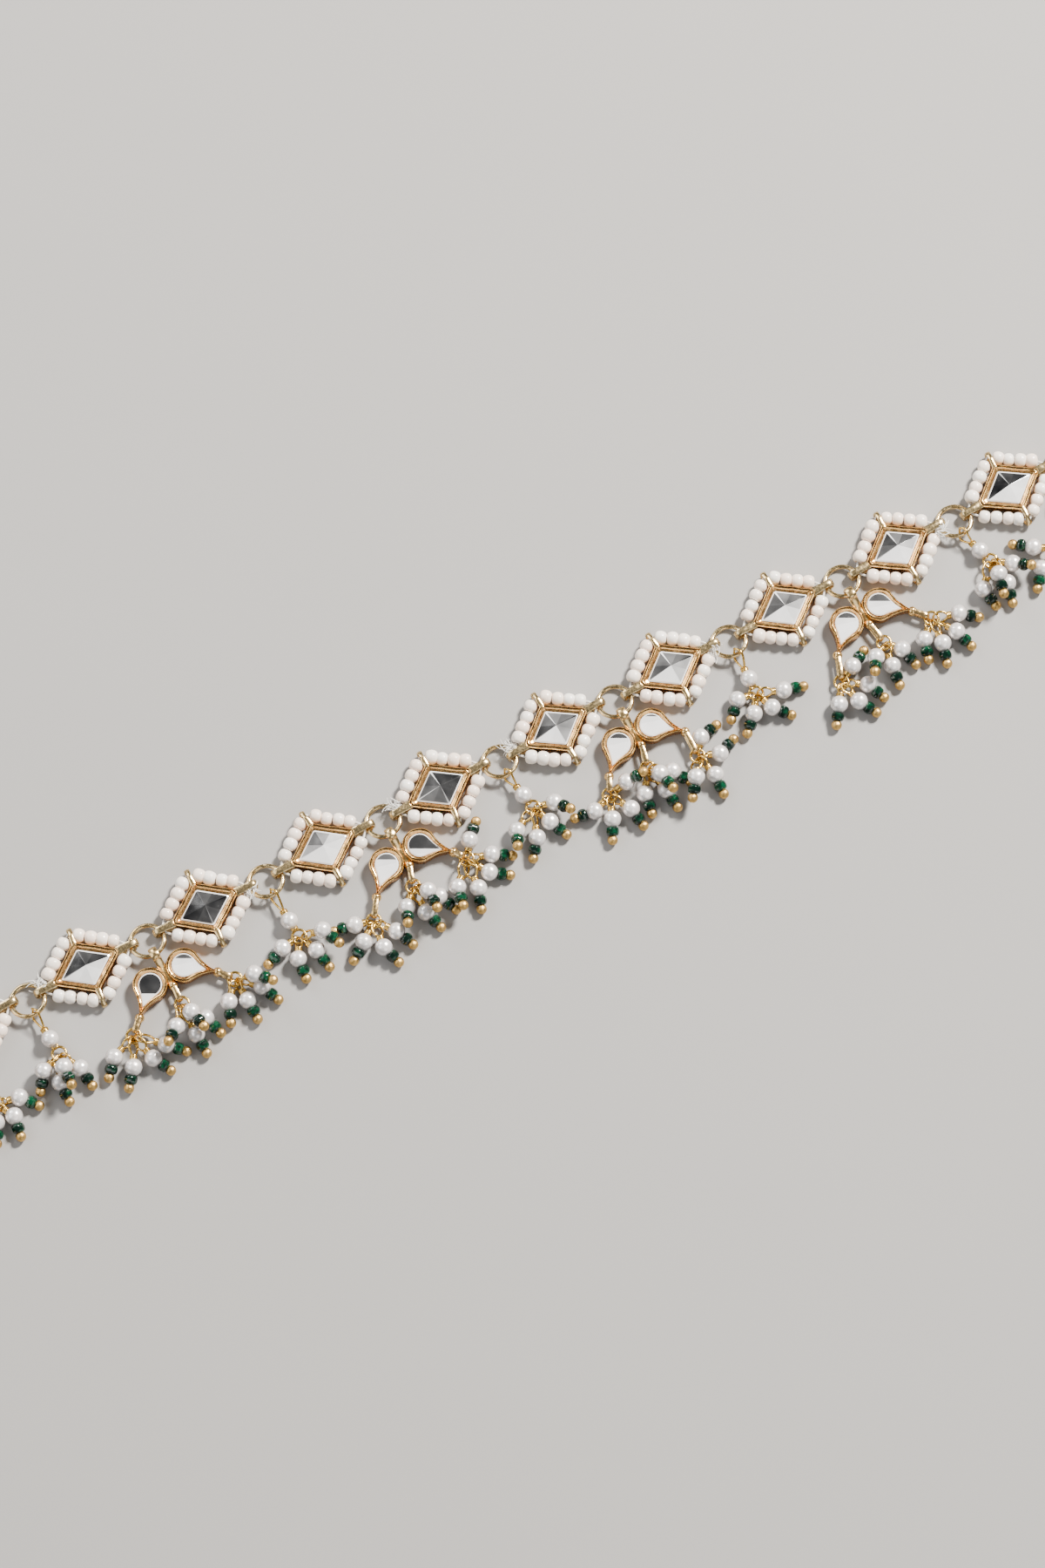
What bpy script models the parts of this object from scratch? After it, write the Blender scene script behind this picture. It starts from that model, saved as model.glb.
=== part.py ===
"""A beaded anklet laid out straight: rhombic cut-stone settings in seed-bead borders, joined by
jump rings. Twin-leaf settings and pearl pendants hang from the rings and carry tassels of drops.
Metres, +Z up. +X runs along the row, the tassels point to -Y, and the floor is z = 0."""

import itertools
import math

import bmesh
import bpy
from mathutils import Matrix, Vector

MM = 0.001

# The row: how many settings, how far apart, and how the laid row bows
SETTING_COUNT = 10
ORIGIN_SETTING = 5
SETTING_PITCH = 19.9 * MM
BOW_RISE = 0.7 * MM
BOW_REACH = 80.0 * MM
BOW_MIDDLE = 20.0 * MM
SETTING_TURNS = (2.0, 0.0, -1.0, 0.0, 2.0, 3.5, 2.5, 1.5, 3.0, 3.5)

# The rhombic setting: half diagonals of its cup, and the cup's height
CUP_HALF_LONG = 5.8 * MM
CUP_HALF_SHORT = 4.33 * MM
CUP_HEIGHT = 2.1 * MM
RIM_FLAT = 1.02 * MM
STONE_SINK = 0.3 * MM
STONE_SIDE_GAP = 0.02 * MM
STONE_BORDER_WIDTH = 0.5 * MM
STONE_BORDER_RISE = 0.3 * MM
STONE_RISE = 0.55 * MM
STONE_TABLE = 0.12 * MM

# The cast loops at the cup's corners
LOOP_THICKNESS = 0.42 * MM
LOOP_MIDDLE_Z = 1.05 * MM
LOOP_OPENING = 1.2 * MM
END_LOOP_PLAY = 0.58 * MM
END_LOOP_WIDTH = 1.0 * MM
SIDE_LOOP_REACH = 6.6 * MM
SIDE_LOOP_WIDTH = 0.6 * MM

# The threaded bead border round a cup
BORDER_HALF_LONG = 7.9 * MM
BORDER_HALF_SHORT = 5.95 * MM
BORDER_BEAD = 2.1 * MM
BORDER_Z = 1.1 * MM
BORDER_THREAD = 0.4 * MM
BORDER_LONG_END_GAP = 2.35 * MM
BORDER_SHORT_END_GAP = 1.35 * MM
BORDER_NECK_SET_IN = 1.55 * MM
BORDER_SIDE_NECK_SET_IN = 0.3 * MM

# The jump rings between the cups
RING_OUTER = 5.9 * MM
RING_WIRE = 0.75 * MM
RING_SET_DOWN = 0.5 * MM
RING_TILT = 13.0

# The twin-leaf setting, measured from its ring's middle
LEAF_JOIN_DROP = 6.0 * MM
LEAF_ROUND_OUT = 2.9 * MM
LEAF_ROUND_DROP = 0.6 * MM
LEAF_ROUND_RADIUS = 2.65 * MM
LEAF_TIP_LENGTH = 5.2 * MM
LEAF_DROOP = 42.0
LEAF_ARC_POINTS = 7
LEAF_HEIGHT = 2.0 * MM
LEAF_RIM_FLAT = 0.85 * MM
LEAF_STONE_BORDER_WIDTH = 0.5 * MM
LEAF_STONE_RISE = 0.2 * MM
LEAF_TURN = 3.0
JOIN_WIDTH = 1.5 * MM
JOIN_LENGTH = 3.4 * MM
JOIN_HEIGHT = 1.7 * MM
BAIL_WIDTH = 1.25 * MM
BAIL_THICKNESS = 0.5 * MM
BAIL_CLEARANCE = 0.3 * MM
LEAF_LOOP_WIDTH = 0.75 * MM
LEAF_LOOP_OPENING = 0.9 * MM
LEAF_LOOP_GAP = 0.15 * MM
LEAF_LOOP_ROOT = 1.0 * MM

# The drops of a tassel: pearl, glass bead and ball on one head pin
PEARL = 2.7 * MM
GLASS_BEAD = 2.0 * MM
BALL = 1.6 * MM
BEAD_STEP = 1.9 * MM
BALL_STEP = 3.2 * MM
DROP_SIDES = 10
DROP_GAP = 0.06 * MM
TASSEL_GAP = 0.35 * MM
LIFT_STEP = 0.2 * MM
MOST_LIFT = 3.2 * MM
SWING_STEP = 6
MOST_SWING = 30
PIN_FALLS = (1.2 * MM, 0.6 * MM, 0.0, -0.8 * MM, -1.6 * MM)
MOST_BEND = 58.0
LIFT_COST = 24.3 / PEARL
LEVEL_COST = 8.1 / PEARL
EYE_RING = 3.0 * MM
EYE_WIRE = 0.42 * MM
EYE_Z = LOOP_MIDDLE_Z

# The wire eye that hangs a pearl pendant from its ring
PENDANT_EYE_WIRE = 0.4 * MM
PENDANT_EYE_WIDTH = 2.0 * MM
PENDANT_EYE_TOP = 1.95 * MM
PENDANT_PEARL_SHARE = 0.62

# The hook at one end and the plain chain at the other
HOOK_WIRE = 1.0 * MM
HOOK_LENGTH = 11.0 * MM
HOOK_SLOPE = 2.0 * MM
HOOK_BEND_RADIUS = 1.9 * MM
HOOK_BACK = 4.0 * MM
CHAIN_LINKS = 5
LINK_LENGTH = 7.4 * MM
LINK_WIDTH = 4.4 * MM
LINK_WIRE = 0.9 * MM
LINK_OVERLAP = 0.2 * MM
LINK_ROLL = 45.0

# The unit of the tables' lengths, 1 mm for pearls of 2.7 mm
TABLE_UNIT = PEARL / 2.7

# Twin leaves from left to right: the middles of their three tassels' eyes, from the ring's middle
LEAF_EYES = (
    # left eye x, y, then middle eye x, y, then right eye x, y
    (-8.4, -13.2, -0.6, -11.5, 8.7, -12.6),
    (-8.4, -12.4, 0.2, -11.5, 8.9, -11.9),
    (-8.4, -13.4, -0.7, -11.5, 8.4, -11.6),
    (-7.7, -13.0, -0.6, -12.0, 7.0, -13.9),
    (-7.9, -14.4, 0.9, -12.0, 9.2, -12.1),
    (-7.8, -12.4, 0.2, -11.5, 8.8, -12.0),
)

# Pearl pendants from left to right: the middle of the tassel's eye, from the ring's middle
PENDANT_EYES = ((0.5, -9.9), (0.5, -10.4), (1.1, -9.2), (-0.3, -9.6), (1.8, -8.6))

# Each tassel's drops in the order they were laid down, the lowest first: bearing of the pearl from
# the eye in degrees, its reach, and bearing of the head pin in degrees
PENDANT_DROPS = (
    ((-157, 3.5, -127), (-115, 4.4, -91), (-63, 3.9, -83), (-97, 2.6, -93)),
    ((-172, 3.1, -160), (-120, 3.5, -95), (-67, 3.4, -80), (-18, 3.6, -66)),
    ((-152, 4.4, -116), (-111, 4.8, -129), (-70, 3.4, -65), (-15, 3.3, -58)),
    ((172, 3.1, -135), (-125, 3.3, -137), (-72, 3.3, -48), (-22, 4.2, -15)),
    ((-133, 4.8, -81), (-84, 4.4, -104), (-38, 3.4, -44), (-100, 3.0, -106)),
)
LEFT_DROPS = (
    ((-159, 4.1, -140), (-117, 4.6, -125), (-80, 4.6, -66), (-44, 4.9, -45)),
    ((-159, 4.3, -132), (-117, 4.8, -130), (-77, 4.6, -62), (-44, 5.1, -45)),
    ((165, 3.0, 168), (-142, 3.6, -147), (-98, 4.4, -72), (-54, 3.8, -66)),
    ((9, 3.2, -4), (-160, 3.4, 170), (-112, 3.8, -118), (-62, 3.9, -82)),
    ((27, 3.0, 27), (-125, 3.6, -126), (-84, 4.0, -60), (-34, 4.0, -66)),
    ((148, 4.1, 141), (-161, 4.3, -130), (-105, 4.4, -110), (-60, 4.2, -66)),
)
MIDDLE_DROPS = (
    ((-134, 3.4, -114), (-95, 4.6, -80), (-48, 3.8, -70)),
    ((-128, 3.8, -140), (-93, 5.2, -88), (-60, 4.2, -72), (-74, 2.2, -78)),
    ((-134, 3.4, -114), (-99, 4.5, -72), (-50, 4.3, -66), (-56, 2.6, -92)),
    ((-124, 4.1, -105), (-80, 4.4, -84), (-36, 3.8, -58), (-84, 2.3, -80)),
    ((-146, 2.9, -125), (-107, 3.9, -97), (-50, 2.9, -76)),
    ((-130, 3.6, -120), (-92, 4.8, -88), (-50, 4.2, -62)),
)
RIGHT_DROPS = (
    ((-115, 2.9, -116), (-63, 3.4, -99), (-20, 3.6, -50)),
    ((-132, 3.6, -112), (-93, 3.8, -90), (-56, 4.2, -66), (-22, 3.0, -50)),
    ((-135, 4.8, -102), (-97, 4.9, -110), (-60, 4.0, -34), (-18, 3.8, -30), (54, 2.9, 44)),
    ((-123, 3.9, -128), (-77, 4.0, -94), (-23, 3.4, 20), (52, 2.9, 12)),
    ((-138, 3.6, -107), (-97, 4.3, -106), (-58, 4.3, -72), (-18, 4.2, -37)),
    ((-138, 3.7, -110), (-96, 4.4, -100), (-50, 4.2, -70)),
)

# Surfaces: colour, roughness, metallic
SURFACES = {
    "antique_gold": ((0.62, 0.36, 0.17), 0.34, 1.0),
    "pale_gold": ((0.78, 0.64, 0.40), 0.24, 1.0),
    "ivory_bead": ((0.86, 0.78, 0.68), 0.35, 0.0),
    "pearl": ((0.86, 0.84, 0.82), 0.22, 0.0),
}


def surface(name):
    """The Principled material of that name, made once."""
    found = bpy.data.materials.get(name)
    if found:
        return found
    colour, roughness, metallic = SURFACES[name]
    material = bpy.data.materials.new(name)
    material.use_nodes = True
    shader = material.node_tree.nodes["Principled BSDF"]
    shader.inputs["Base Color"].default_value = (*colour, 1.0)
    shader.inputs["Roughness"].default_value = roughness
    shader.inputs["Metallic"].default_value = metallic
    return material


def clear_scene():
    for obj in list(bpy.data.objects):
        bpy.data.objects.remove(obj, do_unlink=True)


def collection(name):
    made = bpy.data.collections.new(name)
    bpy.context.scene.collection.children.link(made)
    return made


def place(name, mesh, surface_name, location=(0.0, 0.0, 0.0), turn=0.0):
    """A named piece of the anklet from a finished mesh."""
    if not mesh.materials:
        mesh.materials.append(surface(surface_name))
    piece = bpy.data.objects.new(name, mesh)
    piece.location = location
    piece.rotation_euler = (0.0, 0.0, math.radians(turn))
    ANKLET.objects.link(piece)
    return piece


def evaluated_mesh(obj):
    """The mesh that the object shows, with loose caps welded, in the object's parent space."""
    bpy.context.view_layer.update()
    graph = bpy.context.evaluated_depsgraph_get()
    mesh = bpy.data.meshes.new_from_object(obj.evaluated_get(graph))
    mesh.transform(obj.matrix_world)
    work = bmesh.new()
    work.from_mesh(mesh)
    bmesh.ops.remove_doubles(work, verts=work.verts, dist=0.001 * MM)
    bmesh.ops.recalc_face_normals(work, faces=work.faces)
    work.to_mesh(mesh)
    work.free()
    return mesh


def wire_mesh(points, thickness, resolution=1, closed=False, tilt=0.0, radii=None):
    """A round wire through the points, as a mesh with welded caps."""
    curve = bpy.data.curves.new("wire", "CURVE")
    curve.dimensions = "3D"
    curve.bevel_depth = thickness / 2
    curve.bevel_resolution = resolution
    curve.use_fill_caps = True
    spline = curve.splines.new("POLY")
    spline.points.add(len(points) - 1)
    spline.use_cyclic_u = closed
    for index, (point, place_on) in enumerate(zip(spline.points, points)):
        point.co = (*place_on, 1.0)
        point.tilt = tilt
        point.radius = radii[index] if radii else 1.0
    guide = bpy.data.objects.new("wire", curve)
    SHAPERS.objects.link(guide)
    mesh = evaluated_mesh(guide)
    bpy.data.objects.remove(guide, do_unlink=True)
    mesh.materials.clear()
    return mesh


def band_mesh(points, thickness, width):
    """A flat band that follows points in the plane x = 0, as wide as told along X."""
    side = math.sqrt(0.5)
    mesh = wire_mesh(points, thickness / side, resolution=0, tilt=math.radians(45))
    mesh.transform(Matrix.Diagonal((width / thickness, 1.0, 1.0, 1.0)))
    return mesh


def ring_mesh(outer, wire, around, section):
    """A closed round ring in the plane z = 0."""
    bpy.ops.mesh.primitive_torus_add(
        major_radius=(outer - wire) / 2,
        minor_radius=wire / 2,
        major_segments=around,
        minor_segments=section,
    )
    ring = bpy.context.object
    mesh = ring.data.copy()
    bpy.data.objects.remove(ring, do_unlink=True)
    return mesh


def block_mesh(size, middle):
    work = bmesh.new()
    bmesh.ops.create_cube(work, size=1.0)
    bmesh.ops.scale(work, vec=size, verts=work.verts)
    bmesh.ops.translate(work, vec=middle, verts=work.verts)
    mesh = bpy.data.meshes.new("block")
    work.to_mesh(mesh)
    work.free()
    return mesh


def united(name, meshes):
    """One mesh from several that meet, joined by Boolean unions."""
    body = bpy.data.objects.new(name, meshes[0])
    SHAPERS.objects.link(body)
    others = []
    for mesh in meshes[1:]:
        other = bpy.data.objects.new("joined", mesh)
        SHAPERS.objects.link(other)
        others.append(other)
        union = body.modifiers.new("union", "BOOLEAN")
        union.operation = "UNION"
        union.solver = "EXACT"
        union.object = other
    whole = evaluated_mesh(body)
    for obj in (body, *others):
        bpy.data.objects.remove(obj, do_unlink=True)
    whole.name = name
    whole.materials.clear()
    return whole


def stepped_up(outline, wall_height, steps):
    """A prism on the outline whose top is then stepped in and up: rows of (inward, upward)."""
    work = bmesh.new()
    made = bmesh.ops.create_circle(work, cap_ends=True, segments=len(outline), radius=1.0)
    for vertex, (x, y) in zip(made["verts"], outline):
        vertex.co = (x, y, 0.0)
    base = work.faces[:]
    raised = bmesh.ops.extrude_face_region(work, geom=base)
    lifted = [item for item in raised["geom"] if isinstance(item, bmesh.types.BMVert)]
    bmesh.ops.translate(work, vec=(0.0, 0.0, wall_height), verts=lifted)
    bmesh.ops.recalc_face_normals(work, faces=work.faces)
    top = max(work.faces, key=lambda face: face.calc_center_median().z)
    for inward, upward in steps:
        bmesh.ops.inset_region(work, faces=[top], thickness=inward, depth=upward)
    bmesh.ops.recalc_face_normals(work, faces=work.faces)
    mesh = bpy.data.meshes.new("cup")
    work.to_mesh(mesh)
    work.free()
    return mesh


def moved(mesh, matrix):
    copy = mesh.copy()
    copy.transform(matrix)
    return copy


def turned_about_z(degrees):
    return Matrix.Rotation(math.radians(degrees), 4, "Z")


def loop_points(start, reach, opening):
    """A long loop in the plane x = 0 that leaves at y = start and turns back at y = reach."""
    half = (opening + LOOP_THICKNESS) / 2
    end = reach - LOOP_THICKNESS / 2
    shoulder = end - half * 0.5
    return [
        (0.0, start, LOOP_MIDDLE_Z + half),
        (0.0, shoulder, LOOP_MIDDLE_Z + half),
        (0.0, end, LOOP_MIDDLE_Z),
        (0.0, shoulder, LOOP_MIDDLE_Z - half),
        (0.0, start, LOOP_MIDDLE_Z - half),
    ]


def hook_points(start, reach):
    """A claw in the plane x = 0 that leaves at y = start, bends over and comes back below."""
    over = LOOP_MIDDLE_Z + (LOOP_OPENING + LOOP_THICKNESS) / 2
    under = LOOP_MIDDLE_Z - (LOOP_OPENING + LOOP_THICKNESS) / 2
    end = reach - LOOP_THICKNESS / 2
    return [
        (0.0, start, over),
        (0.0, end, over),
        (0.0, end, under),
        (0.0, end - (over - under) * 0.9, under),
    ]


def end_loop_reach():
    """How far a cup's end loop reaches, past the wire of the jump ring that it holds."""
    ring_inside = SETTING_PITCH / 2 - (RING_OUTER / 2 - RING_WIRE)
    return ring_inside + END_LOOP_PLAY + LOOP_THICKNESS


def setting_mesh():
    """Rhombic cup with its cut stone and four corner loops, back on z = 0."""
    outline = [
        (CUP_HALF_LONG, 0.0),
        (0.0, CUP_HALF_SHORT),
        (-CUP_HALF_LONG, 0.0),
        (0.0, -CUP_HALF_SHORT),
    ]
    diagonal = math.hypot(CUP_HALF_LONG, CUP_HALF_SHORT)
    inner_radius = CUP_HALF_LONG * CUP_HALF_SHORT / diagonal
    stone_edge = RIM_FLAT + STONE_SIDE_GAP + STONE_BORDER_WIDTH
    steps = (
        (RIM_FLAT, 0.0),
        (STONE_SIDE_GAP, -STONE_SINK),
        (STONE_BORDER_WIDTH, STONE_BORDER_RISE),
        (inner_radius - stone_edge - STONE_TABLE, STONE_RISE),
    )
    cup = stepped_up(outline, CUP_HEIGHT, steps)
    end_loop = band_mesh(
        loop_points(CUP_HALF_LONG * 0.8, end_loop_reach(), LOOP_OPENING),
        LOOP_THICKNESS,
        END_LOOP_WIDTH,
    )
    claw = band_mesh(
        hook_points(CUP_HALF_SHORT * 0.8, SIDE_LOOP_REACH), LOOP_THICKNESS, SIDE_LOOP_WIDTH
    )
    loops = [moved(end_loop, turned_about_z(turn)) for turn in (90, -90)]
    loops += [moved(claw, turned_about_z(turn)) for turn in (0, 180)]
    return united("setting", [cup, *loops])


def border_mesh():
    """A string of beads round the cup as one tube, necked to its thread inside the four loops."""
    slope = BORDER_HALF_SHORT / BORDER_HALF_LONG
    near_long = BORDER_HALF_LONG - BORDER_LONG_END_GAP
    near_short = BORDER_SHORT_END_GAP
    corners = []
    thin = BORDER_THREAD / BORDER_BEAD
    for along, across in ((1, 1), (-1, 1), (-1, -1), (1, -1)):
        bead_run = [
            (along * near_long, across * (BORDER_HALF_LONG - near_long) * slope, 1.0),
            (along * near_short, across * (BORDER_HALF_LONG - near_short) * slope, 1.0),
        ]
        if along * across < 0:
            bead_run.reverse()
        at_end = (along * (BORDER_HALF_LONG - BORDER_NECK_SET_IN), 0.0, thin)
        at_side = (0.0, across * (BORDER_HALF_SHORT - BORDER_SIDE_NECK_SET_IN), thin)
        corners += [at_end if along * across > 0 else at_side, *bead_run]
    points = [(x, y, BORDER_Z) for x, y, _ in corners]
    radii = [radius for _, _, radius in corners]
    return wire_mesh(points, BORDER_BEAD, resolution=2, closed=True, radii=radii)


def leaf_outline():
    """A teardrop round (0, 0) with its tip on +X, as a tip point and an arc."""
    touch = math.acos(LEAF_ROUND_RADIUS / LEAF_TIP_LENGTH)
    sweep = 2 * (math.pi - touch)
    points = [(LEAF_TIP_LENGTH, 0.0)]
    for index in range(LEAF_ARC_POINTS):
        angle = touch + sweep * index / (LEAF_ARC_POINTS - 1)
        x = LEAF_ROUND_RADIUS * math.cos(angle)
        points.append((x, LEAF_ROUND_RADIUS * math.sin(angle)))
    return points


def leaf_round_middle(side):
    return Vector((side * LEAF_ROUND_OUT, -LEAF_JOIN_DROP - LEAF_ROUND_DROP, 0.0))


def leaf_tip(side):
    droop = math.radians(LEAF_DROOP)
    reach = Vector((side * math.cos(droop), -math.sin(droop), 0.0)) * LEAF_TIP_LENGTH
    return leaf_round_middle(side) + reach


def leaf_turn():
    """The whole twin leaf turned about the wire that it hangs from."""
    hold = Matrix.Translation((0.0, -ring_wire_drop(), 0.0))
    return hold @ turned_about_z(LEAF_TURN) @ hold.inverted()


def ring_wire_drop():
    """How far the lowest wire of a jump ring lies from the row's line, in plan."""
    radius = (RING_OUTER - RING_WIRE) / 2
    return RING_SET_DOWN + radius * math.cos(math.radians(RING_TILT))


def ring_middle_z():
    """The ring's middle, raised so that its wire crosses the cups' loops at their middle."""
    return LOOP_MIDDLE_Z + RING_SET_DOWN * math.tan(math.radians(RING_TILT))


def ring_wire_z():
    """The height of a jump ring's lowest wire in plan, its lifted side."""
    radius = (RING_OUTER - RING_WIRE) / 2
    return ring_middle_z() + radius * math.sin(math.radians(RING_TILT))


def bail_mesh():
    """The flat bail that wraps the ring's wire and runs down into the leaves' join."""
    half = RING_WIRE / 2 + BAIL_CLEARANCE + BAIL_THICKNESS / 2
    middle_y = -ring_wire_drop()
    middle_z = ring_wire_z()
    end = -LEAF_JOIN_DROP + JOIN_LENGTH / 4
    points = [
        (0.0, end, JOIN_HEIGHT - BAIL_THICKNESS),
        (0.0, middle_y - half, middle_z + half * 0.4),
        (0.0, middle_y - half * 0.4, middle_z + half),
        (0.0, middle_y + half * 0.7, middle_z + half * 0.7),
        (0.0, middle_y + half, middle_z - half * 0.4),
        (0.0, middle_y, middle_z - half),
        (0.0, end, JOIN_HEIGHT - 2.4 * BAIL_THICKNESS),
    ]
    return band_mesh(points, BAIL_THICKNESS, BAIL_WIDTH)


def tassel_loop(root, eye):
    """A loop from the leaves at root that holds a tassel's eye."""
    toward = eye - root
    toward.z = 0.0
    reach = toward.length - (EYE_RING / 2 - EYE_WIRE) + LOOP_THICKNESS + LEAF_LOOP_GAP
    points = loop_points(-LEAF_LOOP_ROOT, reach, LEAF_LOOP_OPENING)
    mesh = band_mesh(points, LOOP_THICKNESS, LEAF_LOOP_WIDTH)
    turn = math.degrees(math.atan2(toward.y, toward.x)) - 90
    mesh.transform(Matrix.Translation((root.x, root.y, 0.0)) @ turned_about_z(turn))
    return mesh


def leaf_setting_mesh(eyes):
    """Two teardrop cups with stones, their join, the bail, and a loop for each tassel."""
    steps = ((LEAF_RIM_FLAT, 0.0), (LEAF_STONE_BORDER_WIDTH, LEAF_STONE_RISE))
    cup = stepped_up(leaf_outline(), LEAF_HEIGHT, steps)
    turn = leaf_turn()
    pieces = []
    for side in (-1, 1):
        pointing = -LEAF_DROOP if side > 0 else 180 + LEAF_DROOP
        middle = Matrix.Translation(leaf_round_middle(side))
        pieces.append(moved(cup, turn @ middle @ turned_about_z(pointing)))
    join = block_mesh(
        (JOIN_WIDTH, JOIN_LENGTH, JOIN_HEIGHT),
        (0.0, -LEAF_JOIN_DROP - JOIN_LENGTH / 4, JOIN_HEIGHT / 2),
    )
    pieces.append(moved(join, turn))
    pieces.append(moved(bail_mesh(), turn))
    middle_root = Vector((0.0, -LEAF_JOIN_DROP - JOIN_LENGTH * 0.7, 0.0))
    roots = (leaf_tip(-1), middle_root, leaf_tip(1))
    for root, eye in zip(roots, eyes):
        pieces.append(tassel_loop(turn @ root, eye))
    return united("leaf_setting", pieces)


def direction(bearing):
    angle = math.radians(bearing)
    return Vector((math.cos(angle), math.sin(angle), 0.0))


def held_at(eye, pearl):
    """Where on its tassel's eye ring a drop is held."""
    outward = Vector((pearl.x - eye.x, pearl.y - eye.y, 0.0)).normalized()
    return eye + outward * ((EYE_RING - EYE_WIRE) / 2)


def drop_balls(pearl, axis):
    """The middle and radius of each ball-like part of a drop."""
    return (
        (pearl, PEARL / 2),
        (pearl + axis * BEAD_STEP, GLASS_BEAD / 2),
        (pearl + axis * BALL_STEP, BALL / 2),
    )


def drop_stem(eye, pearl):
    """The middle and radius of balls along the drop's upper cone."""
    hold = held_at(eye, pearl)
    return tuple((hold.lerp(pearl, share), PEARL / 2 * share) for share in (0.3, 0.65))


def clear_of(parts, laid, gap):
    for middle, radius in parts:
        for other, other_radius in laid:
            if (middle - other).length < radius + other_radius + gap:
                return False
    return True


def swings():
    """Every turn of bearing tried, the smallest first."""
    turns = range(-MOST_SWING, MOST_SWING + 1, SWING_STEP)
    return sorted(turns, key=abs)


def lay_choices():
    """Every way a drop may lie, the least disturbed first: (lift, swing, pin swing, pin fall)."""
    lifts = [step * LIFT_STEP for step in range(round(MOST_LIFT / LIFT_STEP) + 1)]
    choices = list(itertools.product(lifts, swings(), swings(), PIN_FALLS))

    def cost(choice):
        lift, swing, pin_swing, fall = choice
        raised = lift * LIFT_COST + (PIN_FALLS[0] - fall) * LEVEL_COST
        return raised + abs(swing) + abs(pin_swing)

    return sorted(choices, key=cost)


def lay_drop(eye, row, own, others, choices):
    """Lays a drop on the floor or on its own tassel's drops, clear of the others: (pearl, axis)."""
    bearing, reach, pin_bearing = row
    for lift, swing, pin_swing, pin_fall in choices:
        pearl = eye + direction(bearing + swing) * (reach * TABLE_UNIT)
        pearl.z = PEARL / 2 + lift
        fall = min(pin_fall, pearl.z - BALL / 2)
        level = math.sqrt(BALL_STEP**2 - fall**2)
        along = direction(pin_bearing + pin_swing) * level
        axis = (along - Vector((0.0, 0.0, fall))) / BALL_STEP
        parts = drop_balls(pearl, axis)
        if axis.angle(pearl - held_at(eye, pearl)) > math.radians(MOST_BEND):
            continue
        if not clear_of(parts, own, DROP_GAP):
            continue
        if clear_of(parts + drop_stem(eye, pearl), others, TASSEL_GAP):
            return pearl, axis
    raise ValueError("no room for a drop")


def spindle_mesh(rows):
    """A turned body on the X axis from rows of (distance along the axis, radius)."""
    profile = bpy.data.meshes.new("profile")
    points = [(along, radius, 0.0) for along, radius in rows]
    profile.from_pydata(points, [(i, i + 1) for i in range(len(points) - 1)], [])
    guide = bpy.data.objects.new("spindle", profile)
    SHAPERS.objects.link(guide)
    screw = guide.modifiers.new("turned", "SCREW")
    screw.axis = "X"
    screw.steps = DROP_SIDES
    screw.render_steps = DROP_SIDES
    screw.use_merge_vertices = True
    screw.merge_threshold = 0.001 * MM
    mesh = evaluated_mesh(guide)
    bpy.data.objects.remove(guide, do_unlink=True)
    return mesh


def drop_mesh(pattern, pearl, axis, hold):
    """The turned drop set on its pin's line, its upper half bent towards where it is held."""
    facing = axis.to_track_quat("X", "Z").to_matrix().to_4x4()
    bend = axis.rotation_difference(pearl - hold)
    mesh = moved(pattern, Matrix.Translation(pearl) @ facing)
    top = min(pattern.vertices, key=lambda vertex: vertex.co.x).index
    for vertex, straight in zip(mesh.vertices, pattern.vertices):
        if straight.co.x < 0:
            vertex.co = pearl + bend @ (vertex.co - pearl)
    mesh.vertices[top].co = hold
    return mesh


def drop_pattern():
    """Pearl on its upper cone, then glass bead and ball as one tapering tail."""
    ball = BALL / 2
    rows = ((-PEARL, 0.0), (0.0, PEARL / 2), (BALL_STEP, ball), (BALL_STEP + ball, 0.0))
    return spindle_mesh(rows)


def tassel_meshes(pattern, eye, rows, laid):
    """The tassel's eye ring and its drops, each fused to the ring."""
    meshes = [moved(EYE_MESH, Matrix.Translation(eye))]
    near = [part for part in laid if EYE_WIRE < (part[0] - eye).length < 5 * PEARL]
    own = []
    for row in rows:
        pearl, axis = lay_drop(eye, row, own, near, CHOICES)
        own.extend(drop_balls(pearl, axis))
        laid.extend(drop_balls(pearl, axis) + drop_stem(eye, pearl))
        meshes.append(drop_mesh(pattern, pearl, axis, held_at(eye, pearl)))
    return meshes


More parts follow.
